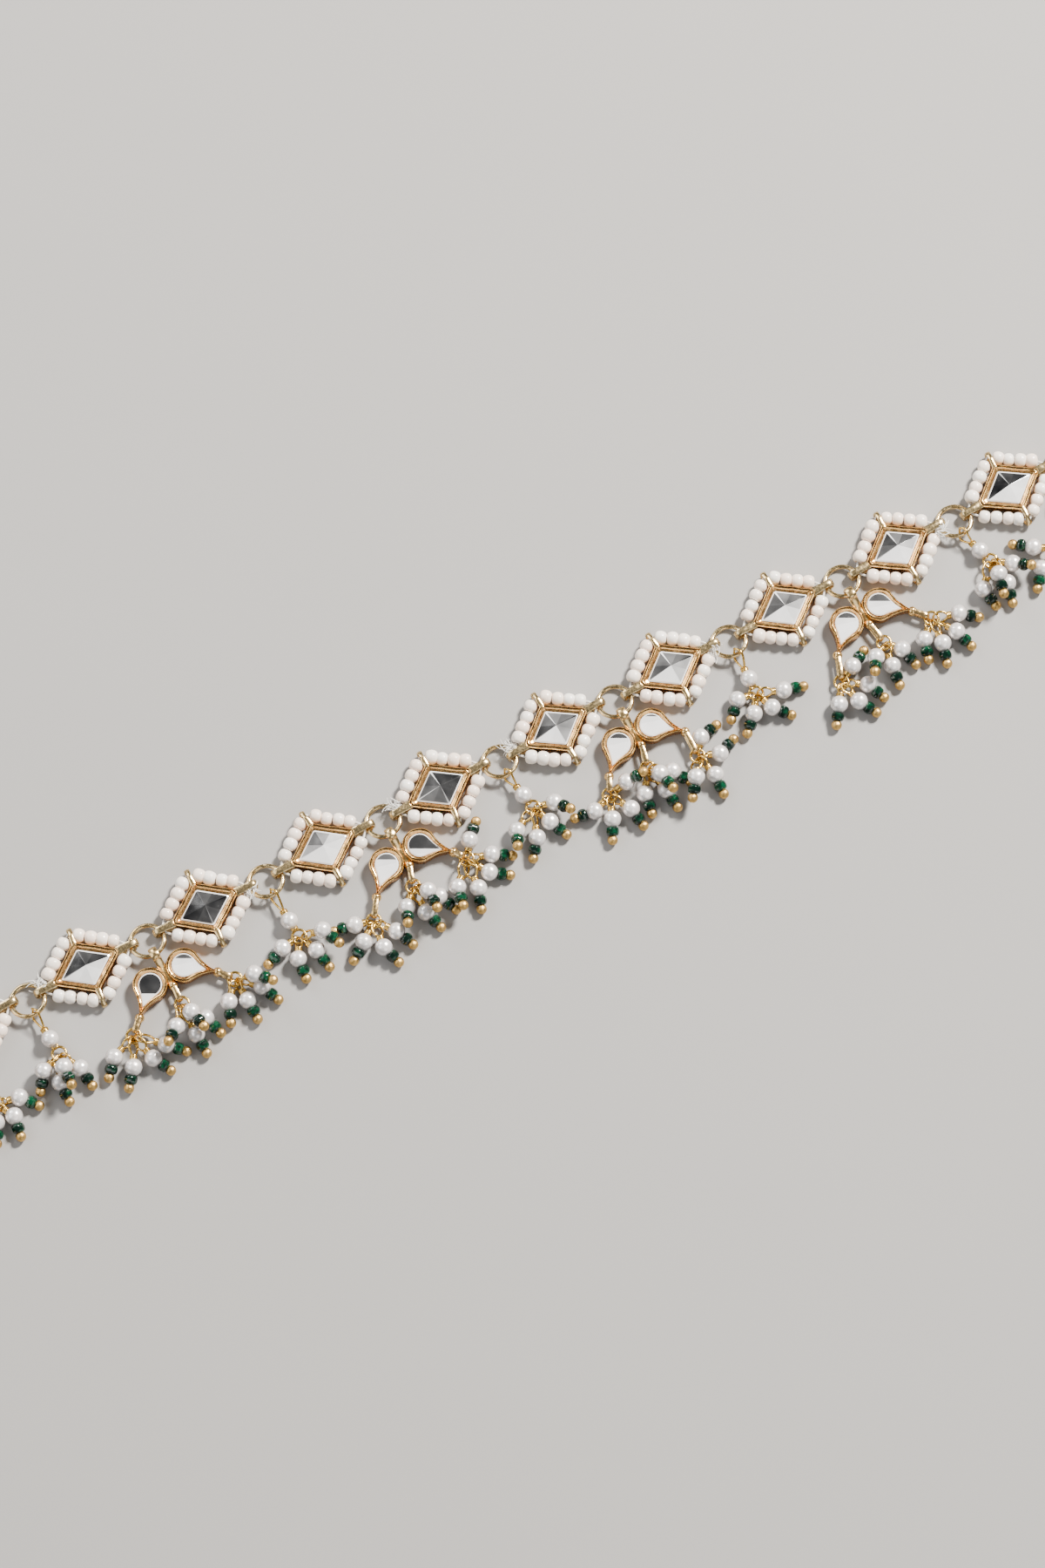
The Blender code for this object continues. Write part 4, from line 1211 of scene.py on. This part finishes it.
def bail_body():
    """The flat bail that wraps the ring's wire and runs down into the leaves' join."""
    half = RING_WIRE / 2 + BAIL_CLEARANCE + BAIL_THICKNESS / 2
    y = -RING_WIRE_DROP
    z = RING_WIRE_Z
    end = -LEAF_JOIN_DROP + JOIN_LENGTH / 4
    points = (
        (0.0, end - 0.5 * MM, JOIN_HEIGHT - BAIL_THICKNESS),
        (0.0, end, JOIN_HEIGHT - BAIL_THICKNESS * 0.7),
        (0.0, y - half, z + half * 0.4),
        (0.0, y - half * 0.4, z + half * 0.95),
        (0.0, y + half * 0.7, z + half * 0.7),
        (0.0, y + half, z - half * 0.4),
        (0.0, y, z - half),
        (0.0, end, JOIN_HEIGHT - 2.2 * BAIL_THICKNESS),
    )

    def swell(share):
        return 0.85 + 0.25 * math.sin(math.pi * share)

    return band(points, BAIL_WIDTH, BAIL_THICKNESS, swell)


def tassel_loop(root, eye):
    """A cast loop from the leaves at root that holds a tassel's eye, as (body, matrix)."""
    toward = eye - root
    toward.z = 0.0
    reach = toward.length - (EYE_RING / 2 - EYE_WIRE) + LOOP_THICKNESS + 2 * LEAF_LOOP_GAP

    def swell(share):
        return 0.7 + 0.3 * math.sin(math.pi * (0.1 + 0.8 * share))

    points = loop_points(-0.1 * MM, reach, LEAF_LOOP_OPENING)
    loop = band(points, LEAF_LOOP_WIDTH, LOOP_THICKNESS, swell, sides=8, boxy=0.8)
    turn = turned_about_z(math.degrees(math.atan2(toward.y, toward.x)) - 90)
    return loop, Matrix.Translation((root.x, root.y, 0.0)) @ turn


def collar(start, end, wire, reach, turns):
    """Wire wrapped round a stem from start to end. Reach is its radius by the wire's size."""
    along = end - start
    turn = facing(along)
    steps = max(8, round(turns * 9))
    radius = wire * reach
    path = []
    for step in range(steps + 1):
        share = step / steps
        angle = 2 * math.pi * turns * share
        spot = Vector((along.length * share, radius * math.cos(angle), radius * math.sin(angle)))
        path.append(start + turn @ spot)
    return bent_wire(path, wire, 5)


def placed(middle, axis):
    """From a turned body's own frame to its place on the axis."""
    return Matrix.Translation(middle) @ facing(axis)


def add_beads(parts, middle, axis, looks, chance):
    """A drop's pearl, glass bead and ball, on the line of its head pin."""
    squash = Matrix.Diagonal((chance.uniform(0.95, 1.0), 1.0, chance.uniform(0.96, 1.02), 1.0))
    pearl = ball_body(PEARL / 2, PEARL_CUTS, PEARL_HOLE)
    parts["pearls"].add(pearl, placed(middle, axis) @ squash)
    glass = bead_body(GLASS_BEAD / 2, looks.glass_length, GLASS_HOLE, GLASS_LIP, GLASS_SIDES)
    parts["glass"].add(glass, placed(middle + axis * BEAD_STEP, axis), tone=chance.random())
    ball = ball_body(BALL / 2, BALL_CUTS, BALL_HOLE)
    parts["balls"].add(ball, placed(middle + axis * BALL_STEP, axis))


def add_drop_eye(parts, hold, middle, looks, chance):
    """The collar over a drop's pearl, and the wire eye that its tassel's ring holds."""
    wire = looks.drop_wire
    up = (hold - middle).normalized()
    top = PEARL / 2 * COLLAR_START
    free = max((hold - middle).length - top, LEAST_EYE)
    wrap = min(looks.collar_length, free * 0.5)
    start = middle + up * top
    parts["wires"].add(collar(start, start + up * wrap, wire, COLLAR_REACH, COLLAR_TURNS))
    radius = (free - wrap + looks.eye_past_ring) / 2
    eye = start + up * (wrap + radius - wire * 0.3)
    side = up.cross(Vector((0.0, 0.0, 1.0))).normalized()
    tilt = math.radians(chance.choice((-1, 1)) * chance.uniform(*EYE_TILTS))
    across = Quaternion(up, tilt) @ side
    lowest = eye.z - radius * abs(across.z) - wire / 2
    eye.z -= min(lowest, 0.0)
    turn = Matrix((up, across, up.cross(across))).transposed().to_4x4()
    slim = Matrix.Diagonal((1.0, looks.eye_slimness, 1.0, 1.0))
    place = Matrix.Translation(eye) @ turn @ slim
    path = circle_path(radius, EYE_STEPS, place, EYE_SQUEEZE)
    parts["wires"].add(bent_wire(path, wire, 6, closed=True))


def add_tassel(parts, eye, drops, looks, chance):
    """A tassel's ring round its eye's middle, and every drop on it."""
    radius = EYE_RADIUS * looks.ring_share
    ring = circle_path(radius, TASSEL_RING_STEPS, Matrix.Translation(eye))
    parts["wires"].add(bent_wire(ring, EYE_WIRE, 7, closed=True))
    for middle, axis in drops:
        hold = eye.lerp(held_at(eye, middle), looks.ring_share)
        add_beads(parts, middle, axis, looks, chance)
        add_drop_eye(parts, hold, middle, looks, chance)


def add_pendant_top(parts, index, looks):
    """The long wire eye on the jump ring, its collar, the pearl, and the collar below."""
    spot = ring_spot(2 * index + 1)
    eye = spot + pendant_eye(index)
    wire = spot + Vector((0.0, -RING_WIRE_DROP, RING_WIRE_Z))
    toward = Vector((eye.x - wire.x, eye.y - wire.y, 0.0))
    middle = Vector((wire.x, wire.y, 0.0)) + toward * PENDANT_PEARL_SHARE
    middle.z = PEARL / 2
    ahead = toward.normalized()
    pearl = ball_body(PEARL / 2, PEARL_CUTS, PEARL_HOLE)
    parts["pearls"].add(pearl, placed(middle, ahead))
    pearl_end = ahead * (PEARL / 2 * PENDANT_COLLAR_START)
    start = middle - pearl_end
    top = start - ahead * looks.collar_length
    top.z += 0.15 * MM
    half = PENDANT_EYE_WIDTH / 2
    inner_y = spot.y - (PENDANT_EYE_TOP + PENDANT_EYE_WIRE / 2)
    side = Vector((-ahead.y, ahead.x, 0.0)) * 0.5 * MM
    points = (
        top,
        Vector((wire.x, wire.y - half * 0.9, wire.z + half * 0.7)) + side,
        Vector((wire.x, wire.y + half * 0.1, wire.z + half)) + side,
        Vector((wire.x, inner_y, wire.z + half * 0.5)),
        Vector((wire.x, inner_y, wire.z - half * 0.6)),
        Vector((wire.x, wire.y - half * 0.3, wire.z - half)) - side,
    )
    thick = looks.drop_wire
    low = middle + pearl_end
    hold = eye - ahead * EYE_RADIUS
    parts["wires"].add(bent_wire(smooth_path(points, 6, closed=True), thick, 6, closed=True))
    parts["wires"].add(collar(start, top, thick, PENDANT_COLLAR_REACH, PENDANT_COLLAR_TURNS))
    parts["wires"].add(collar(low, hold, thick, COLLAR_REACH, COLLAR_TURNS))


def border_sides():
    """A border's four sides as (start, ahead, onward), each from its short corner outwards."""
    for along, across in ((1, 1), (-1, 1), (-1, -1), (1, -1)):
        short_end = Vector((0.0, across * BORDER_HALF_SHORT, BORDER_Z))
        long_end = Vector((along * BORDER_HALF_LONG, 0.0, BORDER_Z))
        yield short_end, (long_end - short_end) / BORDER_SIDE, along * across < 0


def seed_bead_place(start, ahead, index, spread, chance):
    """Where a seed bead sits on its side, with a size and lean of its own."""
    wander = Vector([chance.uniform(-SEED_WANDER, SEED_WANDER) for _ in range(3)])
    middle = start + ahead * (SEED_FIRST + SEED_PITCH * index) + wander
    size = 1 + chance.uniform(-spread, spread)
    squash = chance.uniform(-spread, spread)
    shape = Matrix.Diagonal((size * (1 - squash * 0.6), size, size, 1.0))
    lean = turned_about_z(chance.uniform(-SEED_LEAN, SEED_LEAN))
    middle.z = max(middle.z, SEED_BEAD / 2 * size)
    return Matrix.Translation(middle) @ lean @ facing(ahead) @ shape


def thread_path(spot):
    """The line of a border's thread, which bends in the cup's loops."""
    points = []
    for start, ahead, onward in border_sides():
        near, far = THREAD_BENDS
        run = [start + ahead * near, start + ahead * (BORDER_SIDE - far)]
        points += run if onward else run[::-1]
    return smooth_path([spot @ point for point in points], 6, closed=True)


def fray(shape, number, end):
    """Loose ends of white thread that stick out round a long corner of a border."""
    chance = random.Random(FRAY_SEED + 10 * number + end)
    spot = setting_matrix(number)
    corner = spot @ Vector((end * (BORDER_HALF_LONG - 0.9 * MM), -end * 0.8 * MM, 0.0))
    outward = spot.to_3x3() @ Vector((end * 0.8, -end * 0.6, 0.0))
    for _ in range(FRAY_THREADS):
        ahead = turned_about_z(chance.uniform(-70, 70)) @ outward
        length = chance.uniform(0.35, 1.0) * FRAY_LENGTH
        start = corner + Vector((chance.uniform(-0.8, 0.8), chance.uniform(-0.6, 0.6), 0.0)) * MM
        start.z = chance.uniform(0.7, 2.0) * MM
        curl = Vector((-ahead.y, ahead.x, 0.0)) * chance.uniform(-1.2, 1.2) * length
        points = (
            start,
            start + ahead * length * 0.4 + Vector((0.0, 0.0, chance.uniform(-0.1, 0.3) * MM)),
            start + ahead * length * 0.8 + curl * 0.4,
            start + ahead * length + curl,
        )
        thread = 2 * chance.uniform(0.06, 0.13) * MM
        path = smooth_path(points, 3)
        last = len(path) - 1
        swell = [1.2 - 0.7 * index / last for index in range(last + 1)]
        shape.add(bent_wire(path, thread, 4, swell=swell))


def jump_ring(number):
    """A ring of hammered wire, whose thickness wavers a little."""
    phase = random.Random(RING_SEED + number).uniform(0, 2 * math.pi)
    path = circle_path(RING_RADIUS, RING_STEPS, ring_matrix(number))
    swell = []
    for index in range(RING_STEPS):
        angle = 2 * math.pi * index / RING_STEPS
        swell.append(1 + 0.05 * math.sin(3 * angle + phase) + 0.03 * math.sin(8 * angle))
    return bent_wire(path, RING_WIRE * 0.94, 12, closed=True, swell=swell)


def hook_path():
    """The hook's line from its ring down to the floor, along it and back round the bend."""
    start = -RING_RADIUS
    bend = -HOOK_LENGTH + HOOK_BEND_RADIUS
    low = HOOK_WIRE / 2
    points = [
        Vector((start, -RING_SET_DOWN, RING_MIDDLE_Z)),
        Vector((start - HOOK_SLOPE, -RING_SET_DOWN, low)),
        Vector((start + bend / 2, -RING_SET_DOWN, low)),
    ]
    for step in range(7):
        angle = math.radians(-90 - 30 * step)
        x = start + bend + HOOK_BEND_RADIUS * math.cos(angle)
        y = -RING_SET_DOWN + HOOK_BEND_RADIUS * (1 + math.sin(angle))
        points.append(Vector((x, y, low)))
    points.append(points[-1] + Vector((HOOK_BACK, 0.0, 0.0)))
    return smooth_path([ring_spot(0) + point for point in points], 4)


def link_path(index):
    """The oval line of a plain link, rolled to one side and the other by turns."""
    radius = (LINK_WIDTH - LINK_WIRE) / 2
    apart = (LINK_LENGTH - LINK_WIDTH) / 2
    pitch = LINK_LENGTH - 2 * LINK_WIRE + LINK_OVERLAP
    first = RING_OUTER / 2 + LINK_LENGTH / 2 - 2 * LINK_WIRE + LINK_OVERLAP
    lift = radius * math.sin(LINK_ROLL) + LINK_WIRE / 2
    roll = Matrix.Rotation(LINK_ROLL if index % 2 == 0 else -LINK_ROLL, 4, "X")
    middle = ring_spot(SETTING_COUNT) + Vector((first + index * pitch, -RING_SET_DOWN, lift))
    place = Matrix.Translation(middle) @ roll
    path = []
    for step in range(LINK_STEPS):
        angle = 2 * math.pi * (step + 0.5) / LINK_STEPS
        x = radius * math.cos(angle)
        y = radius * math.sin(angle)
        path.append(place @ Vector((x + math.copysign(apart, x), y, 0.0)))
    return path


def aimed(name, data, spot):
    """A camera or lamp at the spot, turned to what the camera looks at."""
    made = bpy.data.objects.new(name, data)
    made.location = spot
    made.rotation_euler = (AIM - spot).to_track_quat("-Z", "Y").to_euler()
    bpy.context.scene.collection.objects.link(made)
    return made


# Sizes and colours that a user can change


def an_amount(name, about, default, **fitting):
    return bpy.props.FloatProperty(
        name=name, description=about, default=default, min=0.0, **fitting
    )


def a_length(name, about, default):
    return an_amount(name, about, default, unit="LENGTH", precision=5)


def a_power(name, about, default):
    return an_amount(name, about, default, unit="POWER")


def a_share(name, about, default):
    return an_amount(name, about, default, subtype="FACTOR")


def a_colour(name, about, default):
    return bpy.props.FloatVectorProperty(
        name=name, description=about, default=default, subtype="COLOR", size=3, min=0.0, max=1.0
    )


class AnkletColours(bpy.types.PropertyGroup):
    antique_gold: a_colour("Antique gold", "Cast cups and leaves", (0.78, 0.50, 0.19))
    copper_tint: a_colour("Copper tint", "Ledges and hollows of the cast metal", (0.68, 0.33, 0.11))
    # Brown of the tarnish in the grooves, and of the painted shade at the cast walls' feet and by
    # the stones
    tarnish: a_colour("Tarnish", "Brown of the grooves", (0.055, 0.022, 0.008))
    pale_gold: a_colour("Pale gold", "Jump rings and loops", (0.66, 0.50, 0.26))
    wire_gold: a_colour("Wire gold", "Eyes and collars", (0.74, 0.48, 0.13))
    satin_gold: a_colour("Satin gold", "Balls on the head pins", (0.68, 0.43, 0.14))
    ivory: a_colour("Ivory", "Whitest seed beads", (0.96, 0.91, 0.84))
    ivory_warm: a_colour("Warm ivory", "Warmest seed beads", (0.95, 0.78, 0.66))
    pearl: a_colour("Pearl", "Body of the pearls", (0.87, 0.85, 0.84))
    pearl_rose: a_colour("Pearl rose", "Rosier patches of the pearls", (0.88, 0.82, 0.79))
    pearl_shade: a_colour("Pearl edge", "Cooler edge of the pearls", (0.34, 0.30, 0.29))
    glass: a_colour("Green glass", "Lighter green beads", (0.0015, 0.055, 0.022))
    glass_deep: a_colour("Deep green glass", "Darker green beads", (0.0004, 0.009, 0.005))
    # The two ends of the mirror stones' painted reflections
    stone_dark: a_colour("Stone dark", "Dark facets of the mirror stones", (0.012, 0.013, 0.016))
    stone_light: a_colour("Stone light", "Light facets of the mirror stones", (0.93, 0.93, 0.94))
    thread: a_colour("Thread", "Thread of the bead borders", (0.88, 0.86, 0.82))
    floor: a_colour("Floor", "The pale floor", (0.33, 0.32, 0.31))


class SettingLooks(bpy.types.PropertyGroup):
    rim_groove: a_length("Rim groove", "Depth of the groove in a cup's rim", 0.22 * MM)
    rim_wave: a_length("Rim wave", "How far the cast rims waver", 0.035 * MM)
    cup_corner: a_length("Cup corner", "Radius of the rhombic cups' corners", 0.45 * MM)
    leaf_hollow: a_length("Leaf hollow", "How far a leaf's flanks are drawn in", 0.32 * MM)
    tip_knob: a_length("Tip knob", "Radius of the knob at the root of a leaf's loop", 0.76 * MM)
    bead_spread: a_share("Bead spread", "How unlike the seed beads are", 0.07)


class DropLooks(bpy.types.PropertyGroup):
    drop_wire: a_length("Drop wire", "Thickness of the head pins and eyes", 0.38 * MM)
    collar_length: a_length("Collar length", "Wrapped wire above a pearl", 0.5 * MM)
    glass_length: a_length("Glass length", "Length of a green glass bead", 1.35 * MM)
    ring_share: a_share("Ring share", "Size of a tassel's ring by its room", 0.82)
    eye_slimness: a_share("Eye slimness", "Width of a drop's eye by its length", 0.72)
    eye_past_ring: a_length("Eye reach", "How far a drop's eye reaches past its ring", 0.95 * MM)


class StageLooks(bpy.types.PropertyGroup):
    key_power: a_power("Key power", "Power of the key light", 60.0)
    fill_power: a_power("Fill power", "Power of the fill lights", 7.0)
    room: an_amount("Room light", "Strength of the light from all round", 0.2)


# One operator for each kind of piece


class ANKLET_OT_settings(bpy.types.Operator):
    """Build the rhombic cups with their loops, claws and cut stones"""

    bl_idname = "anklet.settings"
    bl_label = "Cut-stone settings"

    def execute(self, context):
        looks = context.scene.anklet_settings
        outline = cup_outline(looks.cup_corner)
        rows = rim_rows(CUP_HEIGHT, RIM_FLAT, looks.rim_groove)
        stones = Shape()
        for number in range(1, SETTING_COUNT + 1):
            spot = setting_matrix(number)
            cup = Shape()
            body, shades = lofted(outline, CUP_INNER, rows, looks.rim_wave, number)
            cup.add(body, spot, shade=shades)
            for turn, seed in ((90, 1), (-90, 2)):
                loop = end_loop(END_LOOP_WIDTH, 10 * number + seed)
                cup.add(loop, spot @ turned_about_z(turn), **END_LOOP_LOOK)
            for turn, seed in ((0, 3), (180, 4)):
                cup.add(claw(10 * number + seed), spot @ turned_about_z(turn), **CLAW_LOOK)
            cup.piece(f"cup_{number:02d}", cast_gold, [f"setting_{number:02d}"])
            body, lights = rhombus_stone(STONE_REFLECTION_TONES[number - 1])
            stones.add(body, spot, tone=lights)
        stones.piece("cut_stones", silvered_glass, sharp_above=FACET_EDGE)
        return {"FINISHED"}


class ANKLET_OT_borders(bpy.types.Operator):
    """String the seed beads round each cup on their thread"""

    bl_idname = "anklet.borders"
    bl_label = "Seed-bead borders"

    def execute(self, context):
        spread = context.scene.anklet_settings.bead_spread
        bead = bead_body(SEED_BEAD / 2, SEED_LENGTH, SEED_HOLE, SEED_LIP, SEED_SIDES)
        # Painted shade on the points in and near each bead's hole
        shades = [0.9 if math.hypot(y, z) < SEED_HOLE_SHADE_RADIUS else 0.0 for _, y, z in bead[0]]
        threads = Shape()
        for number in range(1, SETTING_COUNT + 1):
            chance = random.Random(BORDER_SEED + number)
            spot = setting_matrix(number)
            beads = Shape()
            for start, ahead, _ in border_sides():
                for index in range(SEED_PER_SIDE):
                    place = seed_bead_place(start, ahead, index, spread, chance)
                    beads.add(bead, spot @ place, shade=shades, tone=chance.random())
            beads.piece(f"seed_beads_{number:02d}", ivory_glass, [f"bead_border_{number:02d}"])
            threads.add(bent_wire(thread_path(spot), THREAD, 6, closed=True))
        for number, end in FRAYS:
            fray(threads, number, end)
        threads.piece("border_threads", white_thread)
        return {"FINISHED"}


class ANKLET_OT_rings(bpy.types.Operator):
    """Close a jump ring between each two settings"""

    bl_idname = "anklet.rings"
    bl_label = "Jump rings"

    def execute(self, context):
        rings = Shape()
        names = []
        for number in range(1, SETTING_COUNT):
            rings.add(jump_ring(number))
            names.append(f"jump_ring_{number:02d}")
        rings.piece("jump_rings", champagne_gold, names)
        return {"FINISHED"}


class ANKLET_OT_clasp(bpy.types.Operator):
    """Bend the plain hook at one end and link the plain chain at the other"""

    bl_idname = "anklet.clasp"
    bl_label = "Hook and chain"

    def execute(self, context):
        path = hook_path()
        knob = ball_body(HOOK_WIRE * 0.55, KNOB_CUTS)
        hook = Shape()
        hook.add(jump_ring(0))
        hook.add(bent_wire(path, HOOK_WIRE, 12))
        hook.add(knob, Matrix.Translation(path[-1]))
        hook.piece("hook", champagne_gold, ["hook_clasp"])
        chain = Shape()
        chain.add(jump_ring(SETTING_COUNT))
        for index in range(CHAIN_LINKS):
            chain.add(bent_wire(link_path(index), LINK_WIRE * 0.96, 10, closed=True))
        chain.piece("plain_chain", champagne_gold, ["extension_chain"])
        return {"FINISHED"}


class ANKLET_OT_leaves(bpy.types.Operator):
    """Build the twin-leaf settings with their bails, loops and stones"""

    bl_idname = "anklet.leaves"
    bl_label = "Twin-leaf settings"

    def execute(self, context):
        looks = context.scene.anklet_settings
        outline = leaf_outline(looks.leaf_hollow)
        knob = ball_body(looks.tip_knob, KNOB_CUTS)
        rows = rim_rows(LEAF_HEIGHT, LEAF_RIM_FLAT, looks.rim_groove)
        stones = Shape()
        for index in range(len(LEAF_EYES)):
            spot = leaf_matrix(index)
            cups = Shape()
            for side in (-1, 1):
                place = spot @ leaf_cup_matrix(side)
                seed = LEAF_SEED + 2 * index + side
                body, shades = lofted(outline, LEAF_ROUND_RADIUS, rows, looks.rim_wave, seed)
                cups.add(body, place, shade=shades)
                # The painted dark reflection strip on this leaf's stone, towards one fixed bearing
                # in the row's frame
                strip_end, strip_tone = LEAF_REFLECTION_STRIPS[index][side + 1 : side + 3]
                far = place.to_3x3().inverted() @ direction(FAR_BEARING)
                stone, lights = leaf_stone(strip_end, strip_tone, far.xy)
                stones.add(stone, place, tone=lights)
            cups.add(join_body(), spot, **JOIN_LOOK)
            cups.add(bail_body(), spot, **BAIL_LOOK)
            for root, eye in zip(leaf_roots(), leaf_eyes(index)):
                start = spot @ root
                loop, place = tassel_loop(start, ring_spot(2 * index) + eye)
                cups.add(loop, place, **LEAF_LOOP_LOOK)
                place = Matrix.Translation((start.x, start.y, LOOP_MIDDLE_Z)) @ TALL_KNOB
                cups.add(knob, place, **KNOB_LOOK)
            cups.piece(f"leaf_cups_{index + 1}", cast_gold, [f"leaf_setting_{index + 1}"])
        stones.piece("leaf_stones", silvered_glass, sharp_above=FACET_EDGE)
        return {"FINISHED"}


class ANKLET_OT_tassels(bpy.types.Operator):
    """Hang the tassels of pearl drops and the pearl pendants"""

    bl_idname = "anklet.tassels"
    bl_label = "Tassels and pendants"

    def execute(self, context):
        looks = context.scene.anklet_drops
        groups = {}
        for group, node, eye, drops in all_tassels():
            groups.setdefault(group, []).append((node, eye, drops))
        finishes = {
            "pearls": (pearl_lustre, ROUND_EDGE),
            "glass": (emerald_glass, GLASS_EDGE),
            "balls": (satin_gold, ROUND_EDGE),
            "wires": (bright_wire, ROUND_EDGE),
        }
        for number, (group, tassels) in enumerate(groups.items()):
            chance = random.Random(TASSEL_SEED + number)
            parts = {kind: Shape() for kind in finishes}
            if group.startswith("pendant"):
                add_pendant_top(parts, int(group[-1]) - 1, looks)
            for _, eye, drops in tassels:
                add_tassel(parts, eye, drops, looks, chance)
            nodes = [node for node, _, _ in tassels]
            for kind, (maker, edge) in finishes.items():
                replaced = nodes if kind == "pearls" else ()
                parts[kind].piece(f"{group}_{kind}", maker, replaced, edge)
        return {"FINISHED"}


class ANKLET_OT_stage(bpy.types.Operator):
    """Set up the pale floor, the soft studio lights and the camera"""

    bl_idname = "anklet.stage"
    bl_label = "Floor, lights and camera"

    def execute(self, context):
        scene = context.scene
        looks = scene.anklet_stage
        bpy.ops.mesh.primitive_plane_add(size=FLOOR_SIZE)
        floor = context.object
        floor.name = "floor"
        floor.data.materials.append(material(pale_floor))
        camera = bpy.data.cameras.new("camera")
        camera.lens = CAMERA_LENS
        camera.sensor_width = 36.0
        camera.clip_start = 0.05
        camera.clip_end = 20.0
        scene.camera = aimed("camera", camera, CAMERA_SPOT)
        for name, power, share, size, place, tint in LIGHTS:
            light = bpy.data.lights.new(name, "AREA")
            light.energy = getattr(looks, power) * share
            light.size = size
            light.color = tint
            aimed(name, light, AIM + Vector(place))
        world = bpy.data.worlds.new("room")
        world.use_nodes = True
        background = world.node_tree.nodes["Background"]
        background.inputs["Color"].default_value = ROOM_COLOUR
        background.inputs["Strength"].default_value = looks.room
        scene.world = world
        return {"FINISHED"}


class ANKLET_PT_panel(bpy.types.Panel):
    """Lists the anklet's sizes, colours and steps"""

    bl_idname = "ANKLET_PT_panel"
    bl_label = "Beaded anklet"
    bl_space_type = "VIEW_3D"
    bl_region_type = "UI"
    bl_category = "Anklet"

    def draw(self, context):
        for name in GROUPS:
            box = self.layout.box()
            group = getattr(context.scene, name)
            for key in group.bl_rna.properties.keys():
                if key not in ("rna_type", "name"):
                    box.prop(group, key)
        for step in STEPS:
            self.layout.operator(step.bl_idname)


GROUPS = {
    "anklet_colours": AnkletColours,
    "anklet_settings": SettingLooks,
    "anklet_drops": DropLooks,
    "anklet_stage": StageLooks,
}
STEPS = (
    ANKLET_OT_settings,
    ANKLET_OT_borders,
    ANKLET_OT_rings,
    ANKLET_OT_clasp,
    ANKLET_OT_leaves,
    ANKLET_OT_tassels,
    ANKLET_OT_stage,
)


def register():
    for made in (*GROUPS.values(), *STEPS, ANKLET_PT_panel):
        bpy.utils.register_class(made)
    for name, group in GROUPS.items():
        setattr(bpy.types.Scene, name, bpy.props.PointerProperty(type=group))


def unregister():
    for name in GROUPS:
        delattr(bpy.types.Scene, name)
    for made in (ANKLET_PT_panel, *reversed(STEPS), *reversed(GROUPS.values())):
        bpy.utils.unregister_class(made)


def main():
    register()
    bpy.ops.anklet.settings()
    bpy.ops.anklet.borders()
    bpy.ops.anklet.rings()
    bpy.ops.anklet.clasp()
    bpy.ops.anklet.leaves()
    bpy.ops.anklet.tassels()
    bpy.ops.anklet.stage()


if __name__ == "__main__":
    main()
